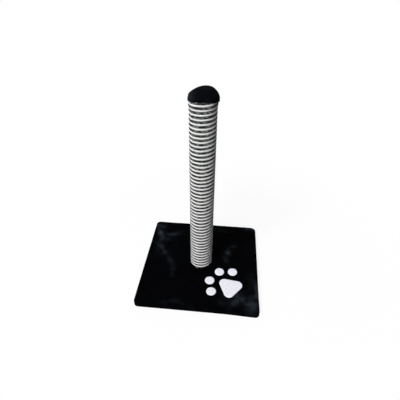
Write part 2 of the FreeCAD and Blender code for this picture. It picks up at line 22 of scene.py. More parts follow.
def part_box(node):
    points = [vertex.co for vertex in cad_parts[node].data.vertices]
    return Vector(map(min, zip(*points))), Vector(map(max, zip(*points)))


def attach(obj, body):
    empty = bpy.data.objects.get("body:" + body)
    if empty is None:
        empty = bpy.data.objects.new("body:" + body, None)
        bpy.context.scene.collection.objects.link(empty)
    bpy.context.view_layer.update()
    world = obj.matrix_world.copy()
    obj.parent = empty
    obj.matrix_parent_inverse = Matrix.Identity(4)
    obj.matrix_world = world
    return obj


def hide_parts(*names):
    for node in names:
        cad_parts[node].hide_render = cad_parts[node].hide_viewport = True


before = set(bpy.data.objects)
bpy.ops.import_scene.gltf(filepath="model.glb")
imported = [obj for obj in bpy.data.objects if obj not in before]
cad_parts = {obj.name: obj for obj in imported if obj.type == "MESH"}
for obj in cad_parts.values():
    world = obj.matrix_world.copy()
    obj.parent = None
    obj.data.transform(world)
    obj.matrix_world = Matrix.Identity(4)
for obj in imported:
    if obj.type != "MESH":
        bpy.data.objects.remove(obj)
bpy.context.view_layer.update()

MM = 0.001
BODY = "root"
# How far the pile lies brushed, which the plush finish shows as a lighter colour: a painted sheen on the
# black plush, a random tone on the white.
NAP_LAYER = "nap"
# Painted shade in the rope's grooves: 0 on a strand's crown, rising to 1 in a groove.
GROOVE_SHADE_LAYER = "groove"
LAY_MAP = "lay"
BAKE_MAP = "OFBake"
# How far one step of a noise seed moves the pattern along each axis, in lumps.
SEED_STEP = (7.31, 3.17, 5.53)

Array = np.ndarray
Colour = tuple[float, float, float, float]
Triple = tuple[float, float, float]
LOG = logging.getLogger("scratching_post")


def solid_box(node: str) -> list[list[float]]:
    """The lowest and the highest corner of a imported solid, in millimetres."""
    return np.round(np.array(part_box(node)) / MM, 3).tolist()


COVER_LOW, COVER_HIGH = solid_box("base_cover")
BOARD_LOW, BOARD_HIGH = solid_box("base_board")
TUBE_LOW, TUBE_HIGH = solid_box("post_tube")
CAP_LOW, CAP_HIGH = solid_box("cap_cover")


def hex_to_linear(code: str) -> Colour:
    """Turns an sRGB hex value to linear light.

    Args:
        code: Six hex digits, such as "e8e6f0".

    Returns:
        Linear red, green and blue, and an alpha of 1.
    """
    parts = [int(code[start:start + 2], 16) / 255 for start in (0, 2, 4)]
    linear = [part / 12.92 if part <= 0.04045 else ((part + 0.055) / 1.055) ** 2.4 for part in parts]
    return (linear[0], linear[1], linear[2], 1.0)


def set_inputs(tree: bpy.types.NodeTree, node: bpy.types.Node, inputs: dict[str | int, Any]) -> None:
    """Gives the inputs of a node their values or links.

    Args:
        tree: Node tree that holds the node.
        node: The node.
        inputs: A value or an output socket for each input, by name or number.
    """
    for key, value in inputs.items():
        if isinstance(value, bpy.types.NodeSocket):
            tree.links.new(value, node.inputs[key])
        else:
            node.inputs[key].default_value = value


def add_node(
    tree: bpy.types.NodeTree,
    kind: str,
    settings: dict[str, Any] | None = None,
    inputs: dict[str | int, Any] | None = None,
) -> bpy.types.Node:
    """Adds one node with its settings, its values and its links.

    Args:
        tree: Node tree that gets the node.
        kind: Blender's type of node.
        settings: The node's own settings by name.
        inputs: A value or an output socket for each input, by name or number.

    Returns:
        The new node.
    """
    node = tree.nodes.new(kind)
    for name, setting in (settings or {}).items():
        setattr(node, name, setting)
    set_inputs(tree, node, inputs or {})
    return node


def seen_directly(tree: bpy.types.NodeTree) -> bpy.types.NodeSocket:
    """Tells what the eye sees, straight or by way of gloss or glass, from light thrown back.

    Args:
        tree: Node tree of a material or of the world.

    Returns:
        An output that is 1 for what is seen and 0 for the rest.
    """
    path = add_node(tree, "ShaderNodeLightPath")
    eye_or_gloss = add_node(tree, "ShaderNodeMath", {"operation": "MAXIMUM"}, {
        0: path.outputs["Is Camera Ray"], 1: path.outputs["Is Glossy Ray"]})
    seen = add_node(tree, "ShaderNodeMath", {"operation": "MAXIMUM"}, {
        0: eye_or_gloss.outputs["Value"], 1: path.outputs["Is Transmission Ray"]})
    return seen.outputs["Value"]


def per_metre(millimetres: float) -> float:
    """The texture scale that gives a pattern this size in millimetres."""
    return 1.0 / (millimetres * MM)


def unit(rows: Array) -> Array:
    """Directions of length 1, one for each row."""
    return rows / np.linalg.norm(rows, axis=-1, keepdims=True)


def ease(share: Array | float) -> Array | float:
    """A share from 0 to 1, made to start and end softly."""
    return share ** 2 * (3 - 2 * share)


def level(plan: Array, height: float) -> Array:
    """Places in plan, lifted to one height."""
    return np.column_stack([plan, np.full(len(plan), height)])


def turned(radius: Array | float, angle: Array, height: Array | float) -> Array:
    """Places round the Z axis by their radius, angle in radians and height."""
    return np.stack(np.broadcast_arrays(radius * np.cos(angle), radius * np.sin(angle), height), axis=-1)


def plan_cross(one: Array, two: Array) -> Array:
    """Cross products of arrows in plan, positive where the second points left of the first."""
    return one[..., 0] * two[..., 1] - one[..., 1] * two[..., 0]


def grid_faces(rings: int, around: int, closed: bool = False, flip: bool = False) -> Array:
    """Quads between neighbouring rings of points.

    Args:
        rings: Number of rings.
        around: Number of points in a ring.
        closed: Whether the last ring joins the first.
        flip: Whether to turn the faces over.

    Returns:
        Four point numbers for each face.
    """
    ring = np.arange(rings if closed else rings - 1)[:, None]
    here = np.arange(around)[None, :]
    there = (here + 1) % around
    after = (ring + 1) % rings
    corners = [ring * around + here, ring * around + there, after * around + there, after * around + here]
    quads = np.stack(corners, axis=-1).reshape(-1, 4)
    return quads[:, ::-1] if flip else quads


def pole_faces(pole: int, first: int, around: int, flip: bool = False) -> list[list[int]]:
    """Triangles between one point, the pole, and a ring by the number of its first point."""
    faces = [[pole, first + here, first + (here + 1) % around] for here in range(around)]
    return [face[::-1] for face in faces] if flip else faces


def capped_faces(rings: int, around: int, flip: bool = False) -> list[list[int]]:
    """Faces of rings of points that one more point closes at each end.

    Args:
        rings: Number of rings; the two closing points come after them.
        around: Number of points in a ring.
        flip: Whether to turn the faces over.

    Returns:
        Point numbers of each face: the quads, then the first end and the last.
    """
    count = rings * around
    faces = grid_faces(rings, around, flip=flip).tolist()
    faces += pole_faces(count, 0, around, flip=not flip)
    faces += pole_faces(count + 1, count - around, around, flip=flip)
    return faces


def mesh_object(name: str, points: Array, faces: list[list[int]]) -> bpy.types.Object:
    """Makes a smooth mesh object in the scene.

    Args:
        name: Name of the piece.
        points: Places in millimetres, one row each.
        faces: Point numbers of each face.

    Returns:
        The new object.
    """
    mesh = bpy.data.meshes.new(name)
    mesh.from_pydata((points * MM).tolist(), [], faces)
    mesh.polygons.foreach_set("use_smooth", [True] * len(faces))
    mesh.update()
    obj = bpy.data.objects.new(name, mesh)
    bpy.context.scene.collection.objects.link(obj)
    return obj


def set_layer(obj: bpy.types.Object, name: str, values: Array) -> None:
    """Writes one number for each point of a mesh, for its material to read."""
    layer = obj.data.attributes.new(name, "FLOAT", "POINT")
    layer.data.foreach_set("value", values.astype(np.float32))


def put_in_place(obj: bpy.types.Object, finish: bpy.types.Material, slot: str, *nodes: str) -> None:
    """Gives a piece its finish and sets it in place of its plain solids.

    Args:
        obj: The piece.
        finish: Its material.
        slot: The part's name for that material; not used.
        nodes: The solids that it stands for.
    """
    obj.data.materials.append(finish)
    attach(obj, BODY)
    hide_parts(*nodes)
    LOG.info("%s: %d faces", obj.name, len(obj.data.polygons))


@dataclass(frozen=True)
class Lumps:
    """A pattern of smooth lumps of one size, from about -1 to 1."""

    size: float
    seed: float = 0.0

    def at(self, points: Array) -> Array:
        """The pattern at each place, one row of millimetres each."""
        shift = Vector([self.seed * step for step in SEED_STEP])
        return np.array([noise.noise(Vector(point) / self.size + shift) for point in points.tolist()])


@dataclass(frozen=True)
class Mottle(Lumps):
    """Lumps as an uneven strength: so deep round a mean, and kept within a range."""

    mean: float = 0.5
    depth: float = 0.5
    least: float = 0.0
    most: float = 1.0

    def at(self, points: Array) -> Array:
        """The strength at each place."""
        return np.clip(self.mean + self.depth * super().at(points), self.least, self.most)


@dataclass(frozen=True)
class Finish:
    """What every finish shares: its name and the material that it makes."""

    name: str

    def build(self) -> bpy.types.Material:
        """Makes the material.

        Returns:
            The new material, with its shader set up.
        """
        material = bpy.data.materials.new(self.name)
        material.use_nodes = True
        self.dress(material.node_tree, material.node_tree.nodes["Principled BSDF"])
        return material

    def dress(self, tree: bpy.types.NodeTree, shader: bpy.types.Node) -> None:
        """Sets the shader up; each finish has its own way."""
        raise NotImplementedError


@dataclass(frozen=True)
class PlushFinish(Finish):
    """Knitted plush with a short cut pile.

    The pile swallows light where it stands up and glints where it was brushed flat; that glint is a painted
    sheen, as the nap layer of the mesh moves the colour from the deep to the lighter brushed one. The real
    tufts are
    0.4 mm; they are drawn as clumps coarse enough to show.
    """

    deep: str
    # brushed: colour of the painted sheen where the pile lies brushed.
    brushed: str
    sheen_tint: str
    sheen: float
    clump: float = 2.2
    drift: float = 26.0
    drift_share: float = 0.025
    pile_depth: float = 0.7
    speckle: float = 0.35
    roughness: float = 0.92
    shine: float = 0.02

    def dress(self, tree: bpy.types.NodeTree, shader: bpy.types.Node) -> None:
        """Links pile clumps, brushed streaks and sheen to the shader.

        Args:
            tree: Node tree of the material.
            shader: Its shader.
        """
        place = add_node(tree, "ShaderNodeTexCoord").outputs["Object"]
        clumps = add_node(tree, "ShaderNodeTexNoise", None, {
            "Vector": place, "Scale": per_metre(self.clump), "Detail": 4.0, "Roughness": 0.65})
        drifts = add_node(tree, "ShaderNodeTexNoise", None, {
            "Vector": place, "Scale": per_metre(self.drift), "Detail": 3.0, "Distortion": 0.8})
        nap = add_node(tree, "ShaderNodeAttribute", {"attribute_name": NAP_LAYER})
        tufted = add_node(tree, "ShaderNodeMapRange", None, {
            "Value": clumps.outputs["Fac"], "From Min": 0.3, "From Max": 0.7,
            "To Min": 1.0 - 2 * self.speckle, "To Max": 1.0 + 2 * self.speckle})
        drifted = add_node(tree, "ShaderNodeMapRange", None, {
            "Value": drifts.outputs["Fac"], "From Min": 0.35, "From Max": 0.75,
            "To Min": 0.0, "To Max": self.drift_share})
        brushed = add_node(tree, "ShaderNodeMath", {"operation": "ADD"}, {
            0: nap.outputs["Fac"], 1: drifted.outputs["Result"]})
        share = add_node(tree, "ShaderNodeMath", {"operation": "MULTIPLY", "use_clamp": True}, {
            0: brushed.outputs["Value"], 1: tufted.outputs["Result"]})
        # Painted sheen: the nap layer and the drifts move the colour from the deep one towards the brushed
        # one.
        colour = add_node(tree, "ShaderNodeMix", {"data_type": "RGBA"}, {
            0: share.outputs["Value"], 6: hex_to_linear(self.deep), 7: hex_to_linear(self.brushed)})
        bump = add_node(tree, "ShaderNodeBump", None, {
            "Strength": 0.6, "Distance": self.pile_depth * MM, "Height": clumps.outputs["Fac"]})
        set_inputs(tree, shader, {
            "Base Color": colour.outputs[2], "Normal": bump.outputs["Normal"],
            "Roughness": self.roughness, "Specular IOR Level": self.shine, "Sheen Weight": self.sheen,
            "Sheen Roughness": 0.45, "Sheen Tint": hex_to_linear(self.sheen_tint)})


@dataclass(frozen=True)
class RopeFinish(Finish):
    """Three-strand rope laid from spun natural fibre.

    Matt fibres run along the rope, lighter on the crown of each strand and darkened by painted shade in the
    grooves between the strands, with odd fibres of another tone. The real fibres are 0.2 mm; they are
    drawn as yarns coarse enough to show.
    """

    shade: str
    crown: str
    # groove: colour of the painted shade laid into the grooves between the strands.
    groove: str
    fleck: str
    fleck_from: float
    groove_shade_spread: float
    yarn_width: float = 0.9
    yarn_length: float = 7.0
    fleck_width: float = 1.3
    fleck_length: float = 4.0
    fleck_fade: float = 0.12
    fleck_shift: Triple = (3.7, 1.9, 0.0)
    fibre_depth: float = 0.25
    roughness: float = 0.85
    shine: float = 0.2
    sheen: float = 0.12

    def dress(self, tree: bpy.types.NodeTree, shader: bpy.types.Node) -> None:
        """Links yarns and flecks along the rope to the shader.

        Args:
            tree: Node tree of the material.
            shader: Its shader.
        """
        lay = add_node(tree, "ShaderNodeUVMap", {"uv_map": LAY_MAP}).outputs["UV"]
        yarn_place = add_node(tree, "ShaderNodeMapping", None, {
            "Vector": lay, "Scale": (per_metre(self.yarn_length), per_metre(self.yarn_width), 1.0)})
        yarns = add_node(tree, "ShaderNodeTexNoise", {"noise_dimensions": "2D"}, {
            "Vector": yarn_place.outputs["Vector"], "Scale": 1.0, "Detail": 4.0, "Roughness": 0.6})
        fleck_place = add_node(tree, "ShaderNodeMapping", None, {
            "Vector": lay, "Location": self.fleck_shift,
            "Scale": (per_metre(self.fleck_length), per_metre(self.fleck_width), 1.0)})
        flecks = add_node(tree, "ShaderNodeTexNoise", {"noise_dimensions": "2D"}, {
            "Vector": fleck_place.outputs["Vector"], "Scale": 1.0, "Detail": 2.0})
        lit = add_node(tree, "ShaderNodeMapRange", None, {
            "Value": yarns.outputs["Fac"], "From Min": 0.3, "From Max": 0.7})
        odd = add_node(tree, "ShaderNodeMapRange", None, {
            "Value": flecks.outputs["Fac"],
            "From Min": self.fleck_from, "From Max": self.fleck_from + self.fleck_fade})
        spun = add_node(tree, "ShaderNodeMix", {"data_type": "RGBA"}, {
            0: lit.outputs["Result"], 6: hex_to_linear(self.shade), 7: hex_to_linear(self.crown)})
        flecked = add_node(tree, "ShaderNodeMix", {"data_type": "RGBA"}, {
            0: odd.outputs["Result"], 6: spun.outputs[2], 7: hex_to_linear(self.fleck)})
        # Painted shade: the groove layer darkens the colour towards the groove colour between the strands
        # and at the cut ends.
        groove = add_node(tree, "ShaderNodeAttribute", {"attribute_name": GROOVE_SHADE_LAYER})
        deep = add_node(tree, "ShaderNodeMath", {"operation": "POWER"}, {
            0: groove.outputs["Fac"], 1: self.groove_shade_spread})
        colour = add_node(tree, "ShaderNodeMix", {"data_type": "RGBA"}, {
            0: deep.outputs["Value"], 6: flecked.outputs[2], 7: hex_to_linear(self.groove)})
        bump = add_node(tree, "ShaderNodeBump", None, {
            "Strength": 0.8, "Distance": self.fibre_depth * MM, "Height": yarns.outputs["Fac"]})
        set_inputs(tree, shader, {
            "Base Color": colour.outputs[2], "Normal": bump.outputs["Normal"],
            "Roughness": self.roughness, "Specular IOR Level": self.shine,
            "Sheen Weight": self.sheen, "Sheen Roughness": 0.5})


@dataclass(frozen=True)
class FibreboardFinish(Finish):
    """Medium-density fibreboard, sanded on its faces and raw on its cut edges.

    The pressed wood fibre gives an even tan with fine darker specks and cloudy patches.
    """

    pale: str
    dark: str
    speck: float = 0.9
    speck_depth: float = 0.1
    cloud: float = 35.0
    roughness: float = 0.78

    def dress(self, tree: bpy.types.NodeTree, shader: bpy.types.Node) -> None:
        """Links specks and clouds to the shader.

        Args:
            tree: Node tree of the material.
            shader: Its shader.
        """
        place = add_node(tree, "ShaderNodeTexCoord").outputs["Object"]
        specks = add_node(tree, "ShaderNodeTexNoise", None, {
            "Vector": place, "Scale": per_metre(self.speck), "Detail": 3.0, "Roughness": 0.7})
        clouds = add_node(tree, "ShaderNodeTexNoise", None, {
            "Vector": place, "Scale": per_metre(self.cloud), "Detail": 2.0})
        both = add_node(tree, "ShaderNodeMath", {"operation": "MULTIPLY"}, {
            0: specks.outputs["Fac"], 1: clouds.outputs["Fac"]})
        share = add_node(tree, "ShaderNodeMapRange", None, {
            "Value": both.outputs["Value"], "From Min": 0.12, "From Max": 0.4})
        colour = add_node(tree, "ShaderNodeMix", {"data_type": "RGBA"}, {
            0: share.outputs["Result"], 6: hex_to_linear(self.dark), 7: hex_to_linear(self.pale)})
        bump = add_node(tree, "ShaderNodeBump", None, {
            "Strength": 0.3, "Distance": self.speck_depth * MM, "Height": specks.outputs["Fac"]})
        set_inputs(tree, shader, {
            "Base Color": colour.outputs[2], "Normal": bump.outputs["Normal"], "Roughness": self.roughness})


@dataclass(frozen=True)
class TubeCardFinish(Finish):
    """Kraft card, wound in a spiral and glued.

    A thin darker seam climbs round the tube between the windings, over a fibrous brown.
    """

    card: str
    fibre: str
    seam: str
    ply_width: float = 90.0
    seam_width: float = 0.9
    flock: float = 1.4
    flock_depth: float = 0.1
    roughness: float = 0.85

    def dress(self, tree: bpy.types.NodeTree, shader: bpy.types.Node) -> None:
        """Links the spiral seam and the fibres to the shader.

        Args:
            tree: Node tree of the material.
            shader: Its shader.
        """
        place = add_node(tree, "ShaderNodeTexCoord").outputs["Object"]
        flocks = add_node(tree, "ShaderNodeTexNoise", None, {
            "Vector": place, "Scale": per_metre(self.flock), "Detail": 4.0})
        axes = add_node(tree, "ShaderNodeSeparateXYZ", None, {0: place})
        angle = add_node(tree, "ShaderNodeMath", {"operation": "ARCTAN2"}, {
            0: axes.outputs["Y"], 1: axes.outputs["X"]})
        turns = add_node(tree, "ShaderNodeMath", {"operation": "DIVIDE"}, {
            0: angle.outputs["Value"], 1: math.tau})
        plies = add_node(tree, "ShaderNodeMath", {"operation": "MULTIPLY_ADD"}, {
            0: axes.outputs["Z"], 1: per_metre(self.ply_width), 2: turns.outputs["Value"]})
        within = add_node(tree, "ShaderNodeMath", {"operation": "PINGPONG"}, {
            0: plies.outputs["Value"], 1: 0.5})
        seam = add_node(tree, "ShaderNodeMath", {"operation": "LESS_THAN"}, {
            0: within.outputs["Value"], 1: self.seam_width / self.ply_width / 2})
        brown = add_node(tree, "ShaderNodeMix", {"data_type": "RGBA"}, {
            0: flocks.outputs["Fac"], 6: hex_to_linear(self.card), 7: hex_to_linear(self.fibre)})
        colour = add_node(tree, "ShaderNodeMix", {"data_type": "RGBA"}, {
            0: seam.outputs["Value"], 6: brown.outputs[2], 7: hex_to_linear(self.seam)})
        bump = add_node(tree, "ShaderNodeBump", None, {
            "Strength": 0.3, "Distance": self.flock_depth * MM, "Height": flocks.outputs["Fac"]})
        set_inputs(tree, shader, {
            "Base Color": colour.outputs[2], "Normal": bump.outputs["Normal"], "Roughness": self.roughness})


@dataclass(frozen=True)
class PlatedSteelFinish(Finish):
    """Steel under a thin coat of zinc.

    The coat is bright but not polished: a soft metal gloss with a cloudy, slightly uneven
    roughness and duller patches.
    """

    bright: str
    dull: str
    cloud: float
    roughness: float
    uneven: float = 0.12
    coat_depth: float = 0.05

    def dress(self, tree: bpy.types.NodeTree, shader: bpy.types.Node) -> None:
        """Links the cloudy coat to the shader.

        Args:
            tree: Node tree of the material.
            shader: Its shader.
        """
        place = add_node(tree, "ShaderNodeTexCoord").outputs["Object"]
        clouds = add_node(tree, "ShaderNodeTexNoise", None, {
            "Vector": place, "Scale": per_metre(self.cloud), "Detail": 5.0})
        colour = add_node(tree, "ShaderNodeMix", {"data_type": "RGBA"}, {
            0: clouds.outputs["Fac"], 6: hex_to_linear(self.bright), 7: hex_to_linear(self.dull)})
        gloss = add_node(tree, "ShaderNodeMapRange", None, {
            "Value": clouds.outputs["Fac"],
            "To Min": self.roughness - self.uneven, "To Max": self.roughness + self.uneven})
        bump = add_node(tree, "ShaderNodeBump", None, {
            "Strength": 0.15, "Distance": self.coat_depth * MM, "Height": clouds.outputs["Fac"]})
        set_inputs(tree, shader, {
            "Base Color": colour.outputs[2], "Normal": bump.outputs["Normal"],
            "Roughness": gloss.outputs["Result"], "Metallic": 1.0})


@dataclass(frozen=True)
class PaleFloorFinish(Finish):
    """Matt studio floor.

    It is pure white to the eye but for a trace of the object's soft shadow, and throws back no
    more light than a grey card, so that the undersides of the rope's turns stay shaded.
    """

    paint: str
    bounce: str
    shadow_share: float = 0.14
    shadow_reach: float = 450.0
    fade_end: float = 900.0

    def dress(self, tree: bpy.types.NodeTree, shader: bpy.types.Node) -> None:
        """Mixes the matt paint with plain white for what the eye or a gloss sees.

        Args:
            tree: Node tree of the material.
            shader: Its shader.
        """
        seen = seen_directly(tree)
        colour = add_node(tree, "ShaderNodeMix", {"data_type": "RGBA"}, {
            0: seen, 6: hex_to_linear(self.bounce), 7: hex_to_linear(self.paint)})
        set_inputs(tree, shader, {
            "Base Color": colour.outputs[2], "Roughness": 1.0, "Specular IOR Level": 0.0})
        place = add_node(tree, "ShaderNodeTexCoord").outputs["Object"]
        away = add_node(tree, "ShaderNodeVectorMath", {"operation": "LENGTH"}, {0: place})
        plain = add_node(tree, "ShaderNodeMapRange", None, {
            "Value": away.outputs["Value"],
            "From Min": self.shadow_reach * MM, "From Max": self.fade_end * MM,
            "To Min": 1.0 - self.shadow_share, "To Max": 1.0})
        share = add_node(tree, "ShaderNodeMath", {"operation": "MULTIPLY"}, {
            0: seen, 1: plain.outputs["Result"]})
        white = add_node(tree, "ShaderNodeEmission", None, {"Strength": 1.0})
        mixed = add_node(tree, "ShaderNodeMixShader", None, {
            0: share.outputs["Value"], 1: shader.outputs["BSDF"], 2: white.outputs["Emission"]})
        set_inputs(tree, tree.nodes["Material Output"], {"Surface": mixed.outputs["Shader"]})


# Knitted and cut polyester plush, dyed black: it swallows light, and shows grey-blue as a painted sheen
# where it lies brushed.
BLACK_PLUSH = PlushFinish("black_polyester_plush", "020203", "31383f", "8f9bb0", 0.004, shine=0.008)
# The same plush bleached white: a soft cool white with faint clumps and no gloss.
WHITE_PLUSH = PlushFinish(
    "white_polyester_plush", "e6e5f0", "f2f2fb", "ffffff", 0.05, clump=1.6, speckle=0.2, pile_depth=0.4)
# Dyed fibre twisted into three strands: painted shade near black in the grooves, with grey flecks on the
# crowns.
DARK_ROPE = RopeFinish(
    "charcoal_laid_rope", "060708", "181b1d", "000000", "a2a6a7", 0.51, groove_shade_spread=1.1,
    fleck_width=4.2, fleck_length=9.0, roughness=0.45, shine=0.2, sheen=0.02)
# Bleached fibre of the same lay: an even off-white with painted shade in its grooves, and a few darker
# fibres.
LIGHT_ROPE = RopeFinish(
    "bleached_laid_rope", "e6e6e4", "ebebea", "d4d3d0", "8c8a85", 0.65, groove_shade_spread=3.0,
    fleck_width=2.0, fleck_length=5.0, shine=0.1, sheen=0.05)
# Pressed wood fibre, sanded and sawn: a matt tan with fine specks.
FIBREBOARD = FibreboardFinish("raw_fibreboard", "b48f63", "8d6a45")
# Brown paper wound in a spiral and glued: a fibrous matt brown with one thin climbing seam.
TUBE_CARD = TubeCardFinish("spiral_kraft_card", "a8865c", "8b6c48", "5f482f")
# Steel dipped in a bright zinc bath: a cloudy grey gloss, softer than a mirror.
ZINC_STEEL = PlatedSteelFinish("zinc_plated_steel", "cfd2d6", "a9adb2", 6.0, 0.34)
# Drawn wire with a thin galvanised coat: the same grey, finer and duller.
STAPLE_STEEL = PlatedSteelFinish("galvanised_staple_wire", "c4c6c8", "97999c", 2.5, 0.42)
# Matt white paint: plain white to the eye, with a trace of the object's shadow.
FLOOR_WHITE = PaleFloorFinish("pale_studio_floor", "ffffff", "6a6a6a")


class RopeTone(Enum):
    """The two ropes: the angle of each one's lower end from +X, and how full it is."""

    DARK = ("dark", 240.0, 1.1)
    LIGHT = ("light", 60.0, 0.91)

    def __init__(self, label: str, start: float, fullness: float) -> None:
        """Names the three values of a rope.

        Args:
            label: Word for its tone.
            start: Angle of its lower end.
            fullness: Factor on its thickness.
        """
        self.label = label
        self.start = start
        self.fullness = fullness


class Stretch(Enum):
    """The two pieces that each rope is made in."""

    LOWER = "lower"
    UPPER = "upper"


@dataclass
class RopeWinding:
    """Two three-strand ropes, wound side by side on the tube and out over the cap's skirt."""

    rope_dia: float = 5.6
    gap: float = 0.4
    foot_clear: float = 0.25
    top_clear: float = 2.5
    # From the tube to a rope's middle, and how much further out it lies on the skirt.
    stand_off: float = 3.3
    step_out: float = 1.45
    # A strand's middle lies so far from the rope's, and its skin has points at these angles.
    strands: int = 3
    strand_reach: float = 1.46
    strand_radius: float = 1.52
    strand_stops: tuple[float, ...] = (-60, -46, -31, -15, 0, 15, 31, 46)
    lay_length: float = 18.3
    rings_per_turn: int = 128
    # Each rope thins to a share of itself over its tail, and its cut ends bulge.
    tail: float = 7.0
    tail_share: float = 0.78
    end_bulge: float = 0.4
    # The cut ends take painted shade half way to that of a groove.
    end_groove_shade: float = 0.5
    # Turns that lie a little high or low, and thick and thin places along the strands.
    sway: float = 0.28
    sway_waves: tuple[int, ...] = (1, 2, 3, 5, 7)
    sway_climb: tuple[float, float] = (40.0, 110.0)
    sway_seed: int = 23
    swell: float = 0.05
    swell_waves: int = 4
    swell_length: tuple[float, float] = (9.0, 60.0)
    swell_seed: int = 123
    # Share of a row that stays free at each of its sides on the map of turns.
    row_margin: float = 0.01

    @property
    def lead(self) -> float:
        """Climb of a rope in one turn, past itself and the other rope."""
        return 2 * (self.rope_dia + self.gap)

    @property
    def low(self) -> float:
        """Height of a rope's middle at its lower end."""
        return TUBE_LOW[2] + self.foot_clear + self.rope_dia / 2

    @property
    def top(self) -> float:
        """Height of a rope's middle at its upper end."""
        return TUBE_HIGH[2] - self.top_clear - self.rope_dia / 2

    @property
    def inside(self) -> float:
        """Radius of a rope's middle on the bare tube."""
        return TUBE_HIGH[0] + self.stand_off

    @property
    def step_end(self) -> float:
        """Height where a rope has stepped out, just under the cap's skirt."""
        return CAP_LOW[2] - self.rope_dia / 2

    @property
    def turns(self) -> float:
        """Turns of each rope, from end to end."""
        return (self.top - self.low) / self.lead

    @property
    def turn_length(self) -> float:
        """Length of rope in one turn."""
        return math.hypot(math.tau * self.inside, self.lead)

    def sway_at(self, angle: Array, height: Array) -> Array:
        """How far the turns lie above or below an even winding, alike for both ropes.

        Args:
            angle: Angles round the post, in radians.
            height: Heights on the post.

        Returns:
            Millimetres up for each place.
        """
        draw = np.random.default_rng(self.sway_seed)
        total = np.zeros_like(angle)
        for waves in self.sway_waves:
            climb = draw.uniform(-1, 1) * math.tau / draw.uniform(*self.sway_climb)
            total += np.sin(waves * angle + climb * height + draw.uniform(0, math.tau)) / math.sqrt(waves)
        from_low = np.clip((height - self.low) / self.lead, 0, 1)
        from_top = np.clip((self.top - height) / self.lead, 0, 1)
        return self.sway * total * from_low * from_top

    def centres(self, turn: Array, start: float) -> Array:
        """Places on the middle of a rope.

        Args:
            turn: Turns from the rope's lower end.
            start: Angle of that end.

        Returns:
            One place for each turn number.
        """
        height = self.low + self.lead * turn
        share = np.clip((height - self.step_end) / self.lead + 1, 0, 1)
        angle = math.radians(start) + math.tau * turn
        return turned(self.inside + self.step_out * ease(share), angle, height + self.sway_at(angle, height))

    def axes(self, turn: Array, start: float) -> tuple[Array, Array, Array]:
        """Directions that a rope's section is drawn in.

        Args:
            turn: Turns from the rope's lower end.
            start: Angle of that end.

        Returns:
            Directions along the rope, out from the post and to the rope's side.
        """
        nudge = 1e-4
        along = unit(self.centres(turn + nudge, start) - self.centres(turn - nudge, start))
        radial = turned(1.0, math.radians(start) + math.tau * turn, 0.0)
        out = unit(radial - along * (radial * along).sum(axis=1, keepdims=True))
        return along, out, np.cross(along, out)

    def outline(self) -> tuple[Array, Array]:
        """The rope's section, round strands with grooves between them.

        Returns:
            Angles round the rope in radians, and the distances from its middle there.
        """
        lobe = np.radians(self.strand_stops)
        across = self.strand_reach * np.sin(lobe)
        reach = self.strand_reach * np.cos(lobe) + np.sqrt(self.strand_radius ** 2 - across ** 2)
        angles = [lobe + math.tau * strand / self.strands for strand in range(self.strands)]
        return np.concatenate(angles), np.tile(reach, self.strands)

    def swelling(self, run: Array, strand: int) -> Array:
        """Slight thick and thin places along one strand.

        Args:
            run: Lengths along the rope.
            strand: Number of the strand.

        Returns:
            A factor on the strand's size for each length.
        """
        draw = np.random.default_rng(self.swell_seed + strand)
        waves = [np.sin(run * math.tau / draw.uniform(*self.swell_length) + draw.uniform(0, math.tau))
                 for _ in range(self.swell_waves)]
        return 1.0 - self.swell / 2 + self.swell / self.swell_waves * sum(waves)

    def skin(self, turn: Array, reach: Array, fullness: float) -> Array:
        """Distances from a rope's middle to its skin, uneven along it and less at its ends.

        Args:
            turn: Turns from the rope's lower end.
            reach: Distances of an even rope, round its section.
            fullness: Factor on the rope's thickness.

        Returns:
            One row of distances for each turn number.
        """
        run = turn * self.turn_length
        strands = np.stack([self.swelling(run, strand) for strand in range(self.strands)], axis=1)
        from_end = np.minimum(run, self.turns * self.turn_length - run)
        taper = np.sin(np.clip(from_end / self.tail, 0, 1) * math.pi / 2)
        thin = self.tail_share + (1 - self.tail_share) * taper
        return reach * fullness * np.repeat(strands, len(self.strand_stops), axis=1) * thin[:, None]

    def build(self, tone: RopeTone, stretch: Stretch) -> bpy.types.Object:
        """Makes one piece of one rope.

        Args:
            tone: Which rope.
            stretch: Which of its two pieces.

        Returns:
            The piece as a closed mesh.
        """
        middle = self.turns / 2
        first, last = (0.0, middle) if stretch is Stretch.LOWER else (middle, self.turns)
        count = math.ceil((last - first) * self.rings_per_turn) + 1
        turn = np.linspace(first, last, count)
        run = turn * self.turn_length
        centre = self.centres(turn, tone.start)
        along, out, side = self.axes(turn, tone.start)
        section, reach = self.outline()
        skin = self.skin(turn, reach, tone.fullness)
        spin = section + (math.tau * run / self.lay_length)[:, None]
        rings = (centre[:, None, :]
                 + (skin * np.cos(spin))[..., None] * out[:, None, :]
                 + (skin * np.sin(spin))[..., None] * side[:, None, :])
        ends = [centre[0] - along[0] * self.end_bulge, centre[-1] + along[-1] * self.end_bulge]
        points = np.concatenate([rings.reshape(-1, 3), ends])
        obj = mesh_object(f"{tone.label}_rope_{stretch.value}", points, capped_faces(count, len(section)))
        # Painted shade for the finish: 0 on a strand's crown, rising to 1 in the grooves between strands.
        half_strand = 180 / self.strands
        groove = np.tile(np.abs(self.strand_stops) / half_strand, self.strands * count)
        set_layer(obj, GROOVE_SHADE_LAYER, np.append(groove, [self.end_groove_shade] * len(ends)))
        self.map_lay(obj, run, spin)
        return obj

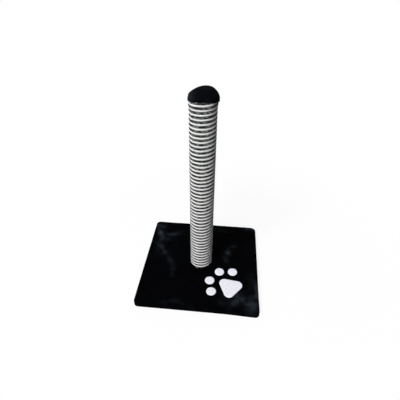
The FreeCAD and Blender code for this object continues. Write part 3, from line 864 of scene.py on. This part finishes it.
    def map_lay(self, obj: bpy.types.Object, run: Array, spin: Array) -> None:
        """Writes where each corner lies along and round the rope, in metres, and a map of turns in rows.

        Args:
            obj: The rope's piece.
            run: Length along the rope at each ring.
            spin: Angle round the rope in radians at each point of each ring.
        """
        steps = len(run) - 1
        around = spin.shape[1]
        girth = self.strand_reach + self.strand_radius
        spin = np.concatenate([spin, spin[:, :1] + math.tau], axis=1) * girth * MM
        length = np.repeat(run[:, None], around + 1, axis=1) * MM
        place = np.stack([length, spin], axis=-1)
        lay = np.stack([place[:-1, :-1], place[:-1, 1:], place[1:, 1:], place[1:, :-1]], axis=2)
        rows = math.ceil(steps / self.rings_per_turn)
        ring = np.arange(steps)[:, None, None]
        here = np.arange(around)[None, :, None]
        across = (ring % self.rings_per_turn + np.array([0, 0, 1, 1])) / self.rings_per_turn
        within = (here + np.array([0, 1, 1, 0])) / around * (1 - 2 * self.row_margin) + self.row_margin
        bake = np.stack(np.broadcast_arrays(across, (ring // self.rings_per_turn + within) / rows), axis=-1)
        # The triangles of the two ends all take the first corner's place.
        end_corners = 2 * around * 3
        for name, corners in ((LAY_MAP, lay), (BAKE_MAP, bake)):
            flat = corners.reshape(-1, 2)
            flat = np.concatenate([flat, np.repeat(flat[:1], end_corners, axis=0)])
            layer = obj.data.uv_layers.new(name=name)
            layer.uv.foreach_set("vector", flat.astype(np.float32).ravel())

    def dress(self) -> None:
        """Makes the four pieces and sets them in place of the plain turns."""
        finishes = {RopeTone.DARK: DARK_ROPE.build(), RopeTone.LIGHT: LIGHT_ROPE.build()}
        for tone in RopeTone:
            for stretch in Stretch:
                obj = self.build(tone, stretch)
                node = f"rope_{tone.label}_{stretch.value}"
                put_in_place(obj, finishes[tone], f"{tone.label}_rope", node)


@dataclass(frozen=True)
class BrushStroke:
    """One place where the pile of the base lies brushed and shows a painted sheen: its middle, way and size
    on the top.

    The stroke bows from side to side, and is combed lengthwise.
    """

    x: float
    y: float
    way: float
    length: float
    width: float
    strength: float
    bow: float = 0.8
    bends: float = 2.1
    comb_length: float = 9.0
    comb_width: float = 2.0
    comb: Mottle = Mottle(1.3, mean=0.75, depth=0.6, most=1.4)

    def mark(self, points: Array, number: int) -> Array:
        """How far the stroke brushes the pile.

        Args:
            points: Places on the cloth.
            number: Number of the stroke, which makes each one uneven in its own way.

        Returns:
            One number for each place.
        """
        turn = math.radians(self.way)
        x = points[:, 0] - self.x
        y = points[:, 1] - self.y
        along = x * math.cos(turn) + y * math.sin(turn)
        across = y * math.cos(turn) - x * math.sin(turn)
        across += self.width * self.bow * np.sin(along / self.length * self.bends + number)
        fade = np.exp(-(along / self.length) ** 2 - (across / self.width) ** 2)
        combed = np.column_stack([along / self.comb_length, across / self.comb_width])
        return self.strength * fade * self.comb.at(level(combed, number))


@dataclass
class PlushBase:
    """The plush that wraps the base board: top, sides and the hem turned under."""

    side: float = 2 * COVER_HIGH[0]
    top: float = COVER_HIGH[2]
    hem_thick: float = BOARD_LOW[2]
    board_top: float = BOARD_HIGH[2]
    corners: tuple[float, float, float, float] = (18.0, 14.0, 14.0, 12.0)
    least_corner: float = 1.5
    edge_round: float = 4.0
    floor_round: float = 1.4
    hem_width: float = 34.0
    hem_lean: float = 0.3
    hem_show: float = 0.5
    # The hollow that the post presses into the pile, from its foot up to its rim.
    hollow_floor: float = TUBE_LOW[2]
    hollow_foot: float = 35.65
    hollow_rim: float = 38.85
    bolt_hole: float = 4.5
    fit: float = 0.04
    # Points along a side and round a corner, and rings of points in each stretch of the cloth.
    per_side: int = 104
    per_corner: int = 20
    seat_radii: tuple[float, ...] = (14.0, 24.0, 31.0)
    lining_insets: tuple[float, ...] = (24.0, 12.0)
    hollow_rings: int = 6
    top_rings: int = 62
    bend_rings: int = 7
    side_rings: int = 6
    hem_rings: int = 14
    lining_rings: int = 8
    # Unevenness of the pile: on the top it lifts the cloth, at the edge it swells it.
    waves: Lumps = Lumps(34.0, 1.0)
    tufts: Lumps = Lumps(4.2, 2.0)
    wave_lift: float = 0.28
    tuft_lift: float = 0.16
    brushed_dip: float = 0.3
    edge_band: float = 4.8
    proud: float = 0.6
    wave_swell: float = 0.35
    tuft_swell: float = 0.18
    # Creases where the hem is folded at the corners.
    fold_width: float = 1.6
    fold_depth: float = 0.75
    fold_inset: float = 1.0
    fold_start: float = 140.0
    # The front right corner, where the cloth hangs loose.
    loose_corner: tuple[float, float] = (COVER_HIGH[0], COVER_LOW[1])
    loose_reach: float = 70.0
    loose_push: tuple[float, float] = (0.8, -3.6)
    # Where the pile lies brushed and the finish paints its sheen: single strokes, in uneven patches.
    patches: Mottle = Mottle(19.0, 3.0, mean=0.6, depth=1.1, least=0.1, most=1.3)
    strokes: tuple[BrushStroke, ...] = (
        BrushStroke(-163, 128, -44, 34, 12, 1.0),
        BrushStroke(-172, 168, 8, 26, 9, 0.6),
        BrushStroke(-122, 126, 8, 40, 10, 0.45),
        BrushStroke(-152, 55, 78, 36, 20, 0.4),
        BrushStroke(-111, -10, -69, 62, 9, 0.3),
        BrushStroke(90, 33, 82, 30, 9, 1.4),
        BrushStroke(102, 74, 52, 18, 6, 0.4),
        BrushStroke(150, -143, 18, 46, 24, 0.75),
        BrushStroke(176, -118, 88, 46, 15, 0.75),
        BrushStroke(108, -163, 2, 30, 11, 0.5),
        BrushStroke(-70, -176, -8, 40, 9, 0.18),
        BrushStroke(166, 176, 0, 18, 8, 0.5),
        BrushStroke(34, 168, -8, 44, 7, 0.35),
    )

    @property
    def thick(self) -> float:
        """Thickness of the cloth with its pile."""
        return self.top - self.board_top

    @property
    def flat_cut(self) -> float:
        """Side of the cloth's square cut in metres: the base, two sides and two hems."""
        return round((self.side + 2 * self.top + 2 * self.hem_width) * MM, 4)

    def outline(self, inset: float) -> Array:
        """Plan of the base at a distance inside its edge, as a rounded square.

        Args:
            inset: Distance inside the outer edge.

        Returns:
            Places in plan, in the same order for every inset.
        """
        half = self.side / 2 - inset
        turn = np.linspace(0, math.pi / 2, self.per_corner, endpoint=False)
        bends = [max(corner - inset, self.least_corner) for corner in self.corners]
        quarters = []
        for step, (cosine, sine) in enumerate(((1, 0), (0, 1), (-1, 0), (0, -1))):
            run = np.linspace(bends[step - 1] - half, half - bends[step], self.per_side, endpoint=False)
            straight = np.stack([np.full_like(run, half), run], axis=1)
            arc = bends[step] * np.stack([np.cos(turn), np.sin(turn)], axis=1)
            quarter = np.concatenate([straight, half - bends[step] + arc])
            quarters.append(quarter @ np.array([[cosine, sine], [-sine, cosine]]))
        return np.concatenate(quarters)

    def rings(self) -> tuple[Array, Array]:
        """The cloth's section carried round the base, from the bolt hole over the top and under.

        Returns:
            Rings of places, and how far each ring shows, from 0 for the inside to 1.
        """
        edge = self.outline(0)
        way = unit(edge)
        quarter = np.linspace(0, math.pi / 2, self.bend_rings)
        seat = self.hollow_floor - self.fit
        under_board = self.hem_thick - self.fit
        over_board = self.board_top + self.fit
        inner = self.thick - self.fit
        lining = self.outline(inner)
        stops: list[tuple[Array, float, float]] = []
        for radius in (self.bolt_hole, *self.seat_radii):
            stops.append((way * radius, seat, 0.0))
        for share in np.linspace(0, 1, self.hollow_rings):
            radius = self.hollow_foot + (self.hollow_rim - self.hollow_foot) * share
            stops.append((way * radius, seat + (self.top - self.hollow_floor) * ease(share), share))
        foot = way * self.hollow_rim
        rim = self.outline(self.edge_round)
        for share in np.linspace(0, 1, self.top_rings)[1:]:
            stops.append((foot + (rim - foot) * share, self.top, 1.0))
        for turn in quarter[1:]:
            inset = self.edge_round * (1 - math.sin(turn))
            stops.append((self.outline(inset), self.top - self.edge_round * (1 - math.cos(turn)), 1.0))
        for height in np.linspace(self.top - self.edge_round, self.floor_round, self.side_rings)[1:]:
            stops.append((edge, height, 1.0))
        for turn in quarter[1::2]:
            inset = self.floor_round * (1 - math.cos(turn))
            stops.append((self.outline(inset), self.floor_round * (1 - math.sin(turn)), self.hem_show))
        for inset in np.linspace(self.floor_round, self.hem_width, self.hem_rings)[1:]:
            stops.append((self.outline(inset), 0.0, self.hem_show))
        for height in (under_board / 2, under_board):
            stops.append((self.outline(self.hem_width + self.hem_lean), height, self.hem_show))
        for inset in (*self.lining_insets, inner):
            stops.append((self.outline(inset), under_board, 0.0))
        for height in (self.board_top / 2, over_board):
            stops.append((lining, height, 0.0))
        for share in np.linspace(0, 1, self.lining_rings)[1:]:
            stops.append((lining + (way * self.bolt_hole - lining) * share, over_board, 0.0))
        rings = np.stack([level(plan, height) for plan, height, _ in stops])
        shows = np.repeat(np.array([show for _, _, show in stops])[:, None], rings.shape[1], axis=1)
        return rings, shows

    def nap(self, points: Array) -> Array:
        """How far the pile is brushed at each place, and so how much painted sheen it shows, from 0 for
        standing pile to about 1.
        """
        marks = sum(stroke.mark(points, number) for number, stroke in enumerate(self.strokes))
        return marks * self.patches.at(points * np.array([1, 1, 0]))

    def fold_corners(self, rings: Array) -> None:
        """Draws the cloth together where it is folded under at the four corners.

        Args:
            rings: Rings of places, which are changed in place.
        """
        x, y, z = abs(rings[..., 0]), abs(rings[..., 1]), rings[..., 2]
        under = (z < self.hem_thick / 2) & (np.maximum(x, y) < self.side / 2 - self.fold_inset)
        off_line = abs(x - y) / math.sqrt(2)
        groove = np.exp(-(off_line / self.fold_width) ** 2) * (np.minimum(x, y) > self.fold_start)
        rings[..., 2] = np.where(under, z + self.fold_depth * groove, z)

    def build(self) -> bpy.types.Object:
        """Makes the cloth.

        Returns:
            A closed mesh with its nap layer.
        """
        rings, shows = self.rings()
        self.fold_corners(rings)
        points = rings.reshape(-1, 3)
        show = shows.ravel()
        nap = self.nap(points)
        waves = self.waves.at(points)
        tufts = self.tufts.at(points)
        upper = (points[:, 2] > self.top - 2 * self.edge_round) & (show > 0)
        lift = self.wave_lift * waves + self.tuft_lift * tufts - self.brushed_dip * np.clip(nap, 0, 1)
        points[:, 2] += np.where(upper, lift * show, 0)
        outward = unit(points[:, :2])
        from_middle = np.maximum(abs(points[:, 0]), abs(points[:, 1]))
        edge = (from_middle > self.side / 2 - self.edge_band) & (show > 0)
        swell = self.proud + self.tuft_swell * tufts + self.wave_swell * waves
        points[:, :2] += np.where(edge, swell * show, 0)[:, None] * outward
        off = np.linalg.norm(points[:, :2] - np.array(self.loose_corner), axis=1)
        loose = np.exp(-(off / self.loose_reach) ** 2) * (show > 0)
        points[:, :2] += loose[:, None] * np.array(self.loose_push)
        faces = grid_faces(len(rings), rings.shape[1], closed=True, flip=True)
        obj = mesh_object("plush_base_cover", points, faces.tolist())
        set_layer(obj, NAP_LAYER, nap * show)
        return obj

    def dress(self, finish: bpy.types.Material) -> None:
        """Makes the cloth and lays it round the board.

        Args:
            finish: The black plush.
        """
        obj = self.build()
        put_in_place(obj, finish, "black_plush", "base_cover")


@dataclass
class PawApplique:
    """Five pieces of white plush, cut out and laid on the base as a paw."""

    nodes: tuple[str, ...] = (
        "paw_pad", "paw_toe_inner_left", "paw_toe_inner_right", "paw_toe_outer_left", "paw_toe_outer_right")
    around: int = 144
    trim: float = 1.0
    # The pieces lie in the pile of the base, and their own pile rises to a low crown.
    sunk: float = 0.7
    crown: float = 0.35
    pile_drop: float = 0.1
    edge_round: float = 1.5
    undercut: float = 0.2
    fray: float = 0.22
    # Rings of points on the top, from the first one's share of the way out, and round the edge.
    first_ring: float = 0.06
    top_rings: int = 18
    bend_rings: int = 6
    foot_ring: float = 0.5
    # Unevenness of the edge, of the pile and of its shade; below the still height there is none.
    edge_lumps: Lumps = Lumps(2.4, 4.0)
    tufts: Lumps = Lumps(3.0, 5.0)
    waves: Lumps = Lumps(14.0, 6.0)
    shades: Mottle = Mottle(9.0, 7.0)
    tuft_lift: float = 0.14
    wave_lift: float = 0.12
    still_height: float = 1.0

    def plan(self, node: str) -> tuple[Array, Array]:
        """Outline of a solid of the paw, from above.

        Args:
            node: Name of the solid.

        Returns:
            The middle, and places on the outline at even angles round it.
        """
        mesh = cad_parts[node].data
        spots = np.array(sorted({(round(v.co.x / MM, 3), round(v.co.y / MM, 3)) for v in mesh.vertices}))
        hull: list[Array] = []
        for half in (spots, spots[::-1]):
            start = len(hull)
            for spot in half:
                while len(hull) - start >= 2 and plan_cross(hull[-1] - hull[-2], spot - hull[-2]) <= 0:
                    hull.pop()
                hull.append(spot)
            hull.pop()
        corners = np.array(hull)
        middle = (corners.min(axis=0) + corners.max(axis=0)) / 2
        ends = np.roll(corners, -1, axis=0)
        places = []
        for turn in np.linspace(0, math.tau, self.around, endpoint=False):
            ray = np.array([math.cos(turn), math.sin(turn)])
            off = plan_cross(corners - middle, ray)
            off_next = plan_cross(ends - middle, ray)
            crossed = (off * off_next <= 0) & (((corners + ends) / 2 - middle) @ ray > 0)
            index = int(np.argmax(crossed))
            share = off[index] / (off[index] - off_next[index])
            places.append(corners[index] + (ends[index] - corners[index]) * share)
        return middle, np.array(places)

    def build(self, node: str) -> tuple[bpy.types.Object, float]:
        """Makes one piece over its solid.

        Args:
            node: Name of the solid.

        Returns:
            The piece as a closed mesh, and the area of its cut in square metres.
        """
        low, high = solid_box(node)
        top = high[2] - self.pile_drop
        foot = low[2] - self.sunk
        middle, edge = self.plan(node)
        way = unit(edge - middle)
        spread = edge - middle - way * self.trim
        fray = self.edge_lumps.at(level(edge, 0.0))[:, None] * self.fray
        rings = []
        for share in np.linspace(self.first_ring, 1, self.top_rings):
            plan = middle + (spread - way * self.edge_round * share) * share
            rings.append(level(plan, top + self.crown * (1 - share ** 2)))
        for turn in np.linspace(0, math.pi / 2, self.bend_rings)[1:]:
            plan = middle + spread + way * (fray - self.edge_round * (1 - math.sin(turn)))
            rings.append(level(plan, top - self.edge_round * (1 - math.cos(turn))))
        rings.append(level(middle + spread - way * self.undercut, foot))
        rings.append(level(middle + spread * self.foot_ring, foot))
        points = np.concatenate(rings)
        lift = self.tuft_lift * self.tufts.at(points) + self.wave_lift * self.waves.at(points)
        points[:, 2] += np.where(points[:, 2] > low[2] + self.still_height, lift, 0)
        points = np.concatenate([points, [[*middle, top + self.crown], [*middle, foot]]])
        obj = mesh_object(f"{node}_cloth", points, capped_faces(len(rings), self.around, flip=True))
        set_layer(obj, NAP_LAYER, self.shades.at(points))
        area = abs(plan_cross(spread, np.roll(spread, -1, axis=0)).sum()) / 2 * MM * MM
        return obj, float(area)

    def dress(self, finish: bpy.types.Material) -> None:
        """Makes the five pieces and lays them on the base.

        Args:
            finish: The white plush.
        """
        for node in self.nodes:
            obj, area = self.build(node)
            put_in_place(obj, finish, "white_plush", node)


@dataclass
class PlushCap:
    """The padded cap: plush drawn over wadding, its edge hanging over the top turn of rope.

    The edge hangs lower at the sides and back than in front, and a skirt inside goes down
    under the rope.
    """

    rise: float = 21.7
    radius: float = CAP_HIGH[0]
    lip_round: float = 4.0
    shoulder: float = 10.0
    seat: float = TUBE_HIGH[2]
    seat_ring: float = 16.0
    fit: float = 0.05
    skirt_outside: float = 31.6
    skirt_inside: float = 30.2
    skirt_foot: float = CAP_LOW[2]
    around: int = 120
    crown_rings: int = 17
    shoulder_rings: int = 9
    # The edge: how far it stands out and hangs, more so away from the front.
    edge_out: float = 0.95
    edge_in: float = 0.15
    edge_front: float = 0.8
    edge_drop: float = 11.0
    front_way: float = -95.0
    front_width: float = 52.0
    droop: float = 6.0
    droop_power: float = 3.0
    back_share: float = 0.4
    # The rolled edge itself, the room under it for the top turn of rope, and its rings of points.
    roll_belly: float = 0.5
    roll_up: float = 0.7
    roll_in: float = 0.35
    roll_back: float = 0.5
    room_at_edge: float = 0.9
    room_at_lip: float = 0.6
    edge_rings: int = 6
    # Gathers round the edge.
    gathers: int = 26
    gather_spread: int = 9
    gather_waves: int = 4
    gather_share: float = 0.5
    gather_depth: float = 0.3
    gather_reach: float = 4.5
    edge_ripple: float = 0.4
    out_ripple: float = 0.12
    seed: int = 5
    # The slack cloth, and how it is puffed up.
    slack_wide: float = 0.985
    slack_tall: float = 0.945
    extra_cloth: float = 0.03
    pressure: float = 25.0
    frames: int = 22
    most_move: float = 4.0
    crown_lift: float = 0.1
    fill: float = 0.85
    # Uneven packing of the wadding: flat on the left, full on the right.
    flat_left: float = 3.4
    pull_left: float = 1.7
    focus_left: float = 2.5
    flat_power: float = 1.6
    shoulder_power: float = 1.5
    full_right: float = 1.3
    lift_right: float = 3.6
    focus_right: float = 1.5
    lift_power: float = 1.3
    # A painted sheen on the left flank, the side that the key light falls on: its way and width in radians,
    # its height over the lip and its reach.
    flank_way: float = -2.75
    flank_width: float = 0.45
    flank_height: float = 3.0
    flank_reach: float = 7.0
    lit_flank_sheen: float = 0.75
    least_nap: float = 0.05
    smudge_nap: float = 0.1
    comb: Mottle = Mottle(4.0, 9.0, mean=0.7, depth=0.6, most=1.3)
    smudges: Mottle = Mottle(16.0, 8.0, mean=0.0, depth=1.0)

    @property
    def lip(self) -> float:
        """Height of the cap's lip."""
        return CAP_HIGH[2] - self.rise

    @property
    def circle(self) -> Array:
        """Angles of the points in a ring, in radians."""
        return np.linspace(0, math.tau, self.around, endpoint=False)

    def section(self) -> Array:
        """The cap's outside from its crown down to its widest place.

        Returns:
            Radius and height of each place, in millimetres.
        """
        across = self.radius - self.shoulder
        up = self.rise - self.lip_round
        crown = (across ** 2 + up ** 2 - self.shoulder ** 2) / (2 * (up - self.shoulder))
        bend = math.atan2(self.lip_round - self.rise + crown, across)
        arcs = []
        for middle, radius, turn in (
                ((0.0, self.rise - crown), crown, np.linspace(math.pi / 2, bend, self.crown_rings)),
                ((across, self.lip_round), self.shoulder, np.linspace(bend, 0, self.shoulder_rings))):
            arcs.append(np.array(middle) + radius * np.column_stack([np.cos(turn), np.sin(turn)])[1:])
        return np.concatenate(arcs) + np.array([0.0, self.lip])

    def ripple(self) -> Array:
        """Seeded gathers round the cap's edge.

        Returns:
            One number for each point of a ring, from about -2 to 2.
        """
        draw = np.random.default_rng(self.seed)
        total = np.zeros(self.around)
        for _ in range(self.gather_waves):
            waves = draw.integers(self.gathers - self.gather_spread, self.gathers + self.gather_spread + 1)
            total += np.sin(waves * self.circle + draw.uniform(0, math.tau)) * self.gather_share
        return total

    def start(self) -> Array:
        """The slack cloth before it is puffed up.

        Returns:
            Rings of places from the crown down, round the edge and in to the skirt.
        """
        turn = self.circle
        ripple = self.ripple()
        off_front = (turn - math.radians(self.front_way) + math.pi) % math.tau - math.pi
        width = math.radians(self.front_width)
        behind = 1 - np.exp(-(off_front / width) ** 2)
        back = np.exp(-((np.abs(off_front) - math.pi) / width) ** 2)
        droop = self.droop * behind * (1 - (1 - self.back_share) * back)
        rings = []
        for radius, height in self.section():
            near_lip = math.exp(-((height - self.lip - self.lip_round) / self.gather_reach) ** 2)
            wide = radius * self.slack_wide + self.gather_depth * near_lip * ripple
            sag = droop * (radius / self.radius) ** self.droop_power
            rings.append(turned(wide, turn, self.lip + (height - self.lip) * self.slack_tall - sag))
        edge = self.lip + self.edge_front - self.edge_drop * behind + self.edge_ripple * ripple
        waist = self.lip + self.lip_round * self.slack_tall - droop
        out = self.radius + self.edge_out + self.out_ripple * ripple
        inside = self.radius + self.edge_in
        under = np.maximum(self.lip + self.room_at_lip, edge + self.room_at_edge)
        for wide, tall in ((out, (waist + edge) / 2 + self.roll_belly), (out, edge + self.roll_up),
                           (out - self.roll_in, edge), (inside, edge + self.roll_back),
                           (inside, under), (self.skirt_outside, under)):
            rings.append(turned(wide, turn, tall))
        return np.stack(rings)

    def hand_shape(self, rings: Array) -> Array:
        """Flattens the left shoulder and fills the right one, as the wadding was packed.

        Args:
            rings: The puffed cloth.

        Returns:
            The same rings, uneven.
        """
        angle = np.arctan2(rings[..., 1], rings[..., 0])
        out = np.linalg.norm(rings[..., :2], axis=2) / self.radius
        inside = np.clip(out, 0, 1)
        high = np.clip((rings[..., 2] - self.lip - self.lip_round) / (self.rise - self.lip_round), 0, 1)
        left = ((1 - np.cos(angle)) / 2) ** self.focus_left
        right = ((1 + np.cos(angle)) / 2) ** self.focus_right
        shoulder = np.sin(high ** self.shoulder_power * math.pi) * out
        push = self.full_right * right * out - self.pull_left * left * shoulder
        shaped = rings + turned(push, angle, 0.0)
        shaped[..., 2] -= self.flat_left * left * inside ** self.flat_power * high
        shaped[..., 2] += self.lift_right * right * np.sin(math.pi * inside ** self.lift_power) ** 2
        return shaped

    def puff(self, rings: Array) -> Array:
        """Puffs the cloth up over its wadding with a cloth simulation.

        Args:
            rings: The slack cloth.

        Returns:
            The same rings, full.
        """
        count = len(rings)
        crown = np.array([[0.0, 0.0, self.lip + self.rise * self.slack_tall]])
        points = np.concatenate([rings.reshape(-1, 3), crown])
        faces = grid_faces(count, self.around, flip=True).tolist()
        faces += pole_faces(count * self.around, 0, self.around)
        trial = mesh_object("cap_cloth_trial", points, faces)
        held = trial.vertex_groups.new(name="held")
        held.add(list(range((count - self.edge_rings) * self.around, count * self.around)), 1.0, "REPLACE")
        cloth = trial.modifiers.new("puff", "CLOTH")
        settings = cloth.settings
        settings.quality = 8
        settings.mass = 0.01
        settings.tension_stiffness = 5
        settings.compression_stiffness = 5
        settings.shear_stiffness = 1.7
        settings.bending_stiffness = 0.1
        settings.shrink_min = -self.extra_cloth
        settings.use_pressure = True
        settings.uniform_pressure_force = self.pressure
        settings.vertex_group_mass = held.name
        settings.effector_weights.gravity = 0
        cloth.collision_settings.use_collision = False
        cloth.point_cache.frame_end = self.frames
        scene = bpy.context.scene
        for step in range(1, self.frames + 1):
            scene.frame_set(step)
        result = trial.evaluated_get(bpy.context.evaluated_depsgraph_get())
        full = np.empty(len(points) * 3, np.float32)
        result.data.vertices.foreach_get("co", full)
        scene.frame_set(1)
        bpy.data.objects.remove(trial)
        move = full.reshape(-1, 3).astype(float) / MM - points
        length = np.linalg.norm(move, axis=1, keepdims=True)
        move *= self.most_move / np.maximum(length, self.most_move)
        LOG.info("cap cloth moved %.2f mm at most", float(length.max()))
        return (points + move)[:-1].reshape(rings.shape)

    def build(self) -> bpy.types.Object:
        """Makes the cap.

        Returns:
            One closed, stuffed mesh with its nap layer.
        """
        rings = self.start()
        rings = self.puff(rings)
        rings = self.hand_shape(rings)
        seat = self.seat + self.fit
        inner = [turned(radius, self.circle, height) for radius, height in (
            (self.skirt_outside, self.skirt_foot), (self.skirt_inside, self.skirt_foot),
            (self.skirt_inside, seat), (self.seat_ring, seat))]
        rings = np.concatenate([rings, np.stack(inner)])
        crown = rings[0].mean(axis=0) + np.array([0.0, 0.0, self.crown_lift])
        points = np.concatenate([rings.reshape(-1, 3), [crown, [0.0, 0.0, seat]]])
        obj = mesh_object("plush_cap", points, capped_faces(len(rings), self.around, flip=True))
        set_layer(obj, NAP_LAYER, self.nap(points))
        return obj

    def nap(self, points: Array) -> Array:
        """How far the pile is brushed at each place, with a painted sheen most on the lit left flank.

        Args:
            points: Places on the cap.

        Returns:
            One number for each place.
        """
        # Painted light: a lighter patch on the left flank, where the key light falls.
        aside = (np.arctan2(points[:, 1], points[:, 0]) - self.flank_way) / self.flank_width
        above = (points[:, 2] - self.lip - self.flank_height) / self.flank_reach
        flank = np.exp(-aside ** 2) * np.exp(-above ** 2) * self.comb.at(points)
        return self.least_nap + self.lit_flank_sheen * flank + self.smudge_nap * self.smudges.at(points)

    def dress(self, finish: bpy.types.Material) -> None:
        """Makes the cap and sets it on the tube.

        Args:
            finish: The black plush.
        """
        obj = self.build()
        obj.modifiers.new("smooth", "SUBSURF").render_levels = 1
        put_in_place(obj, finish, "black_plush", "cap_cover", "cap_padding")


@dataclass
class Hardware:
    """The solids that keep their own shape: board, plugs, tube, bolt, washer, nut, brads and staples."""

    wood: tuple[str, ...] = ("base_board", "lower_plug", "upper_plug")
    card: tuple[str, ...] = ("post_tube",)
    plated: tuple[str, ...] = ("post_bolt", "bolt_washer", "tee_nut")
    wire: tuple[str, ...] = ("base_staples", "lower_plug_brads", "upper_plug_brads", "cap_staples")

    def dress(self) -> None:
        """Gives each solid the finish of its real material."""
        for nodes, finish in ((self.wood, FIBREBOARD), (self.card, TUBE_CARD),
                              (self.plated, ZINC_STEEL), (self.wire, STAPLE_STEEL)):
            material = finish.build()
            for node in nodes:
                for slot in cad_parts[node].material_slots:
                    slot.material = material
                LOG.info("%s: %s", node, material.name)


@dataclass
class Studio:
    """Pale floor, soft light from the front left and from behind, and a white surround.

    The lamps' places and sizes are metres, and their power is watts.
    """

    floor_radius: float = 14000.0
    floor_sides: int = 96
    floor_gap: float = 0.05
    aim: Triple = (0.0, 0.0, 0.3)
    key_place: Triple = (-4.65, -8.38, 8.3)
    key_size: float = 7.0
    key_power: float = 2060.0
    back_place: Triple = (0.9, 3.3, 1.9)
    back_size: float = 2.0
    back_power: float = 22.0
    surround: str = "f0f1f4"
    surround_strength: float = 0.15

    def lay_floor(self) -> None:
        """Makes the floor, which isn't part of the object."""
        turn = np.linspace(0, math.tau, self.floor_sides, endpoint=False)
        points = np.concatenate([turned(self.floor_radius, turn, 0.0), np.zeros((1, 3))])
        floor = mesh_object("studio_floor", points, pole_faces(self.floor_sides, 0, self.floor_sides))
        floor.location.z = -self.floor_gap * MM
        floor.data.materials.append(FLOOR_WHITE.build())

    def add_lamp(self, name: str, place: Triple, size: float, power: float) -> None:
        """Adds one soft square lamp that faces the object.

        Args:
            name: Name of the lamp.
            place: Where it stands.
            size: Its side.
            power: Its power.
        """
        lamp = bpy.data.lights.new(name, "AREA")
        lamp.shape = "SQUARE"
        lamp.size = size
        lamp.energy = power
        obj = bpy.data.objects.new(name, lamp)
        obj.location = place
        obj.rotation_euler = (Vector(self.aim) - Vector(place)).to_track_quat("-Z", "Y").to_euler()
        bpy.context.scene.collection.objects.link(obj)

    def surround_white(self) -> None:
        """Sets a soft even sky that the eye and gloss see as plain white."""
        world = bpy.data.worlds.new("white_surround")
        bpy.context.scene.world = world
        world.use_nodes = True
        tree = world.node_tree
        soft = tree.nodes["Background"]
        set_inputs(tree, soft, {
            "Color": hex_to_linear(self.surround), "Strength": self.surround_strength})
        white = add_node(tree, "ShaderNodeBackground", None, {
            "Color": hex_to_linear("ffffff"), "Strength": 1.0})
        mixed = add_node(tree, "ShaderNodeMixShader", None, {
            0: seen_directly(tree), 1: soft.outputs["Background"], 2: white.outputs["Background"]})
        set_inputs(tree, tree.nodes["World Output"], {"Surface": mixed.outputs["Shader"]})

    def build(self) -> None:
        """Sets up the floor, the lamps, the surround and the view's colours."""
        self.lay_floor()
        self.add_lamp("key_softbox", self.key_place, self.key_size, self.key_power)
        self.add_lamp("back_softbox", self.back_place, self.back_size, self.back_power)
        self.surround_white()
        bpy.context.scene.view_settings.view_transform = "Standard"


@dataclass
class PhotoCamera:
    """The photograph's point of view, with its place in metres."""

    place: Triple = (0.0669, -0.790, 0.8744)
    azimuth: float = 5.28
    down: float = 36.89
    roll: float = -0.48
    lens: float = 30.07
    sensor: float = 36.0

    def build(self) -> None:
        """Makes the scene's camera."""
        turn, tilt, roll = (math.radians(angle) for angle in (self.azimuth, self.down, self.roll))
        ahead = Vector((-math.sin(turn) * math.cos(tilt), math.cos(turn) * math.cos(tilt), -math.sin(tilt)))
        right = Vector((math.cos(turn), math.sin(turn), 0.0))
        below = ahead.cross(right)
        across = right * math.cos(roll) + below * math.sin(roll)
        under = below * math.cos(roll) - right * math.sin(roll)
        data = bpy.data.cameras.new("photo_camera")
        data.lens = self.lens
        data.sensor_width = self.sensor
        camera = bpy.data.objects.new("photo_camera", data)
        axes = Matrix((across, -under, -ahead)).transposed()
        camera.matrix_world = Matrix.Translation(self.place) @ axes.to_4x4()
        bpy.context.scene.collection.objects.link(camera)
        bpy.context.scene.camera = camera


@dataclass
class ScratchingPost:
    """The whole object: its sub-assemblies in the order they are put together."""

    hardware: Hardware = field(default_factory=Hardware)
    base: PlushBase = field(default_factory=PlushBase)
    paw: PawApplique = field(default_factory=PawApplique)
    winding: RopeWinding = field(default_factory=RopeWinding)
    cap: PlushCap = field(default_factory=PlushCap)

    def dress(self) -> None:
        """Makes and dresses every piece."""
        black = BLACK_PLUSH.build()
        self.hardware.dress()
        self.base.dress(black)
        self.paw.dress(WHITE_PLUSH.build())
        self.winding.dress()
        self.cap.dress(black)


def main() -> None:
    """Builds the camera, the studio and the object."""
    logging.basicConfig(level=logging.INFO, format="%(name)s: %(message)s")
    PhotoCamera().build()
    Studio().build()
    ScratchingPost().dress()


if __name__ == "__main__":
    main()
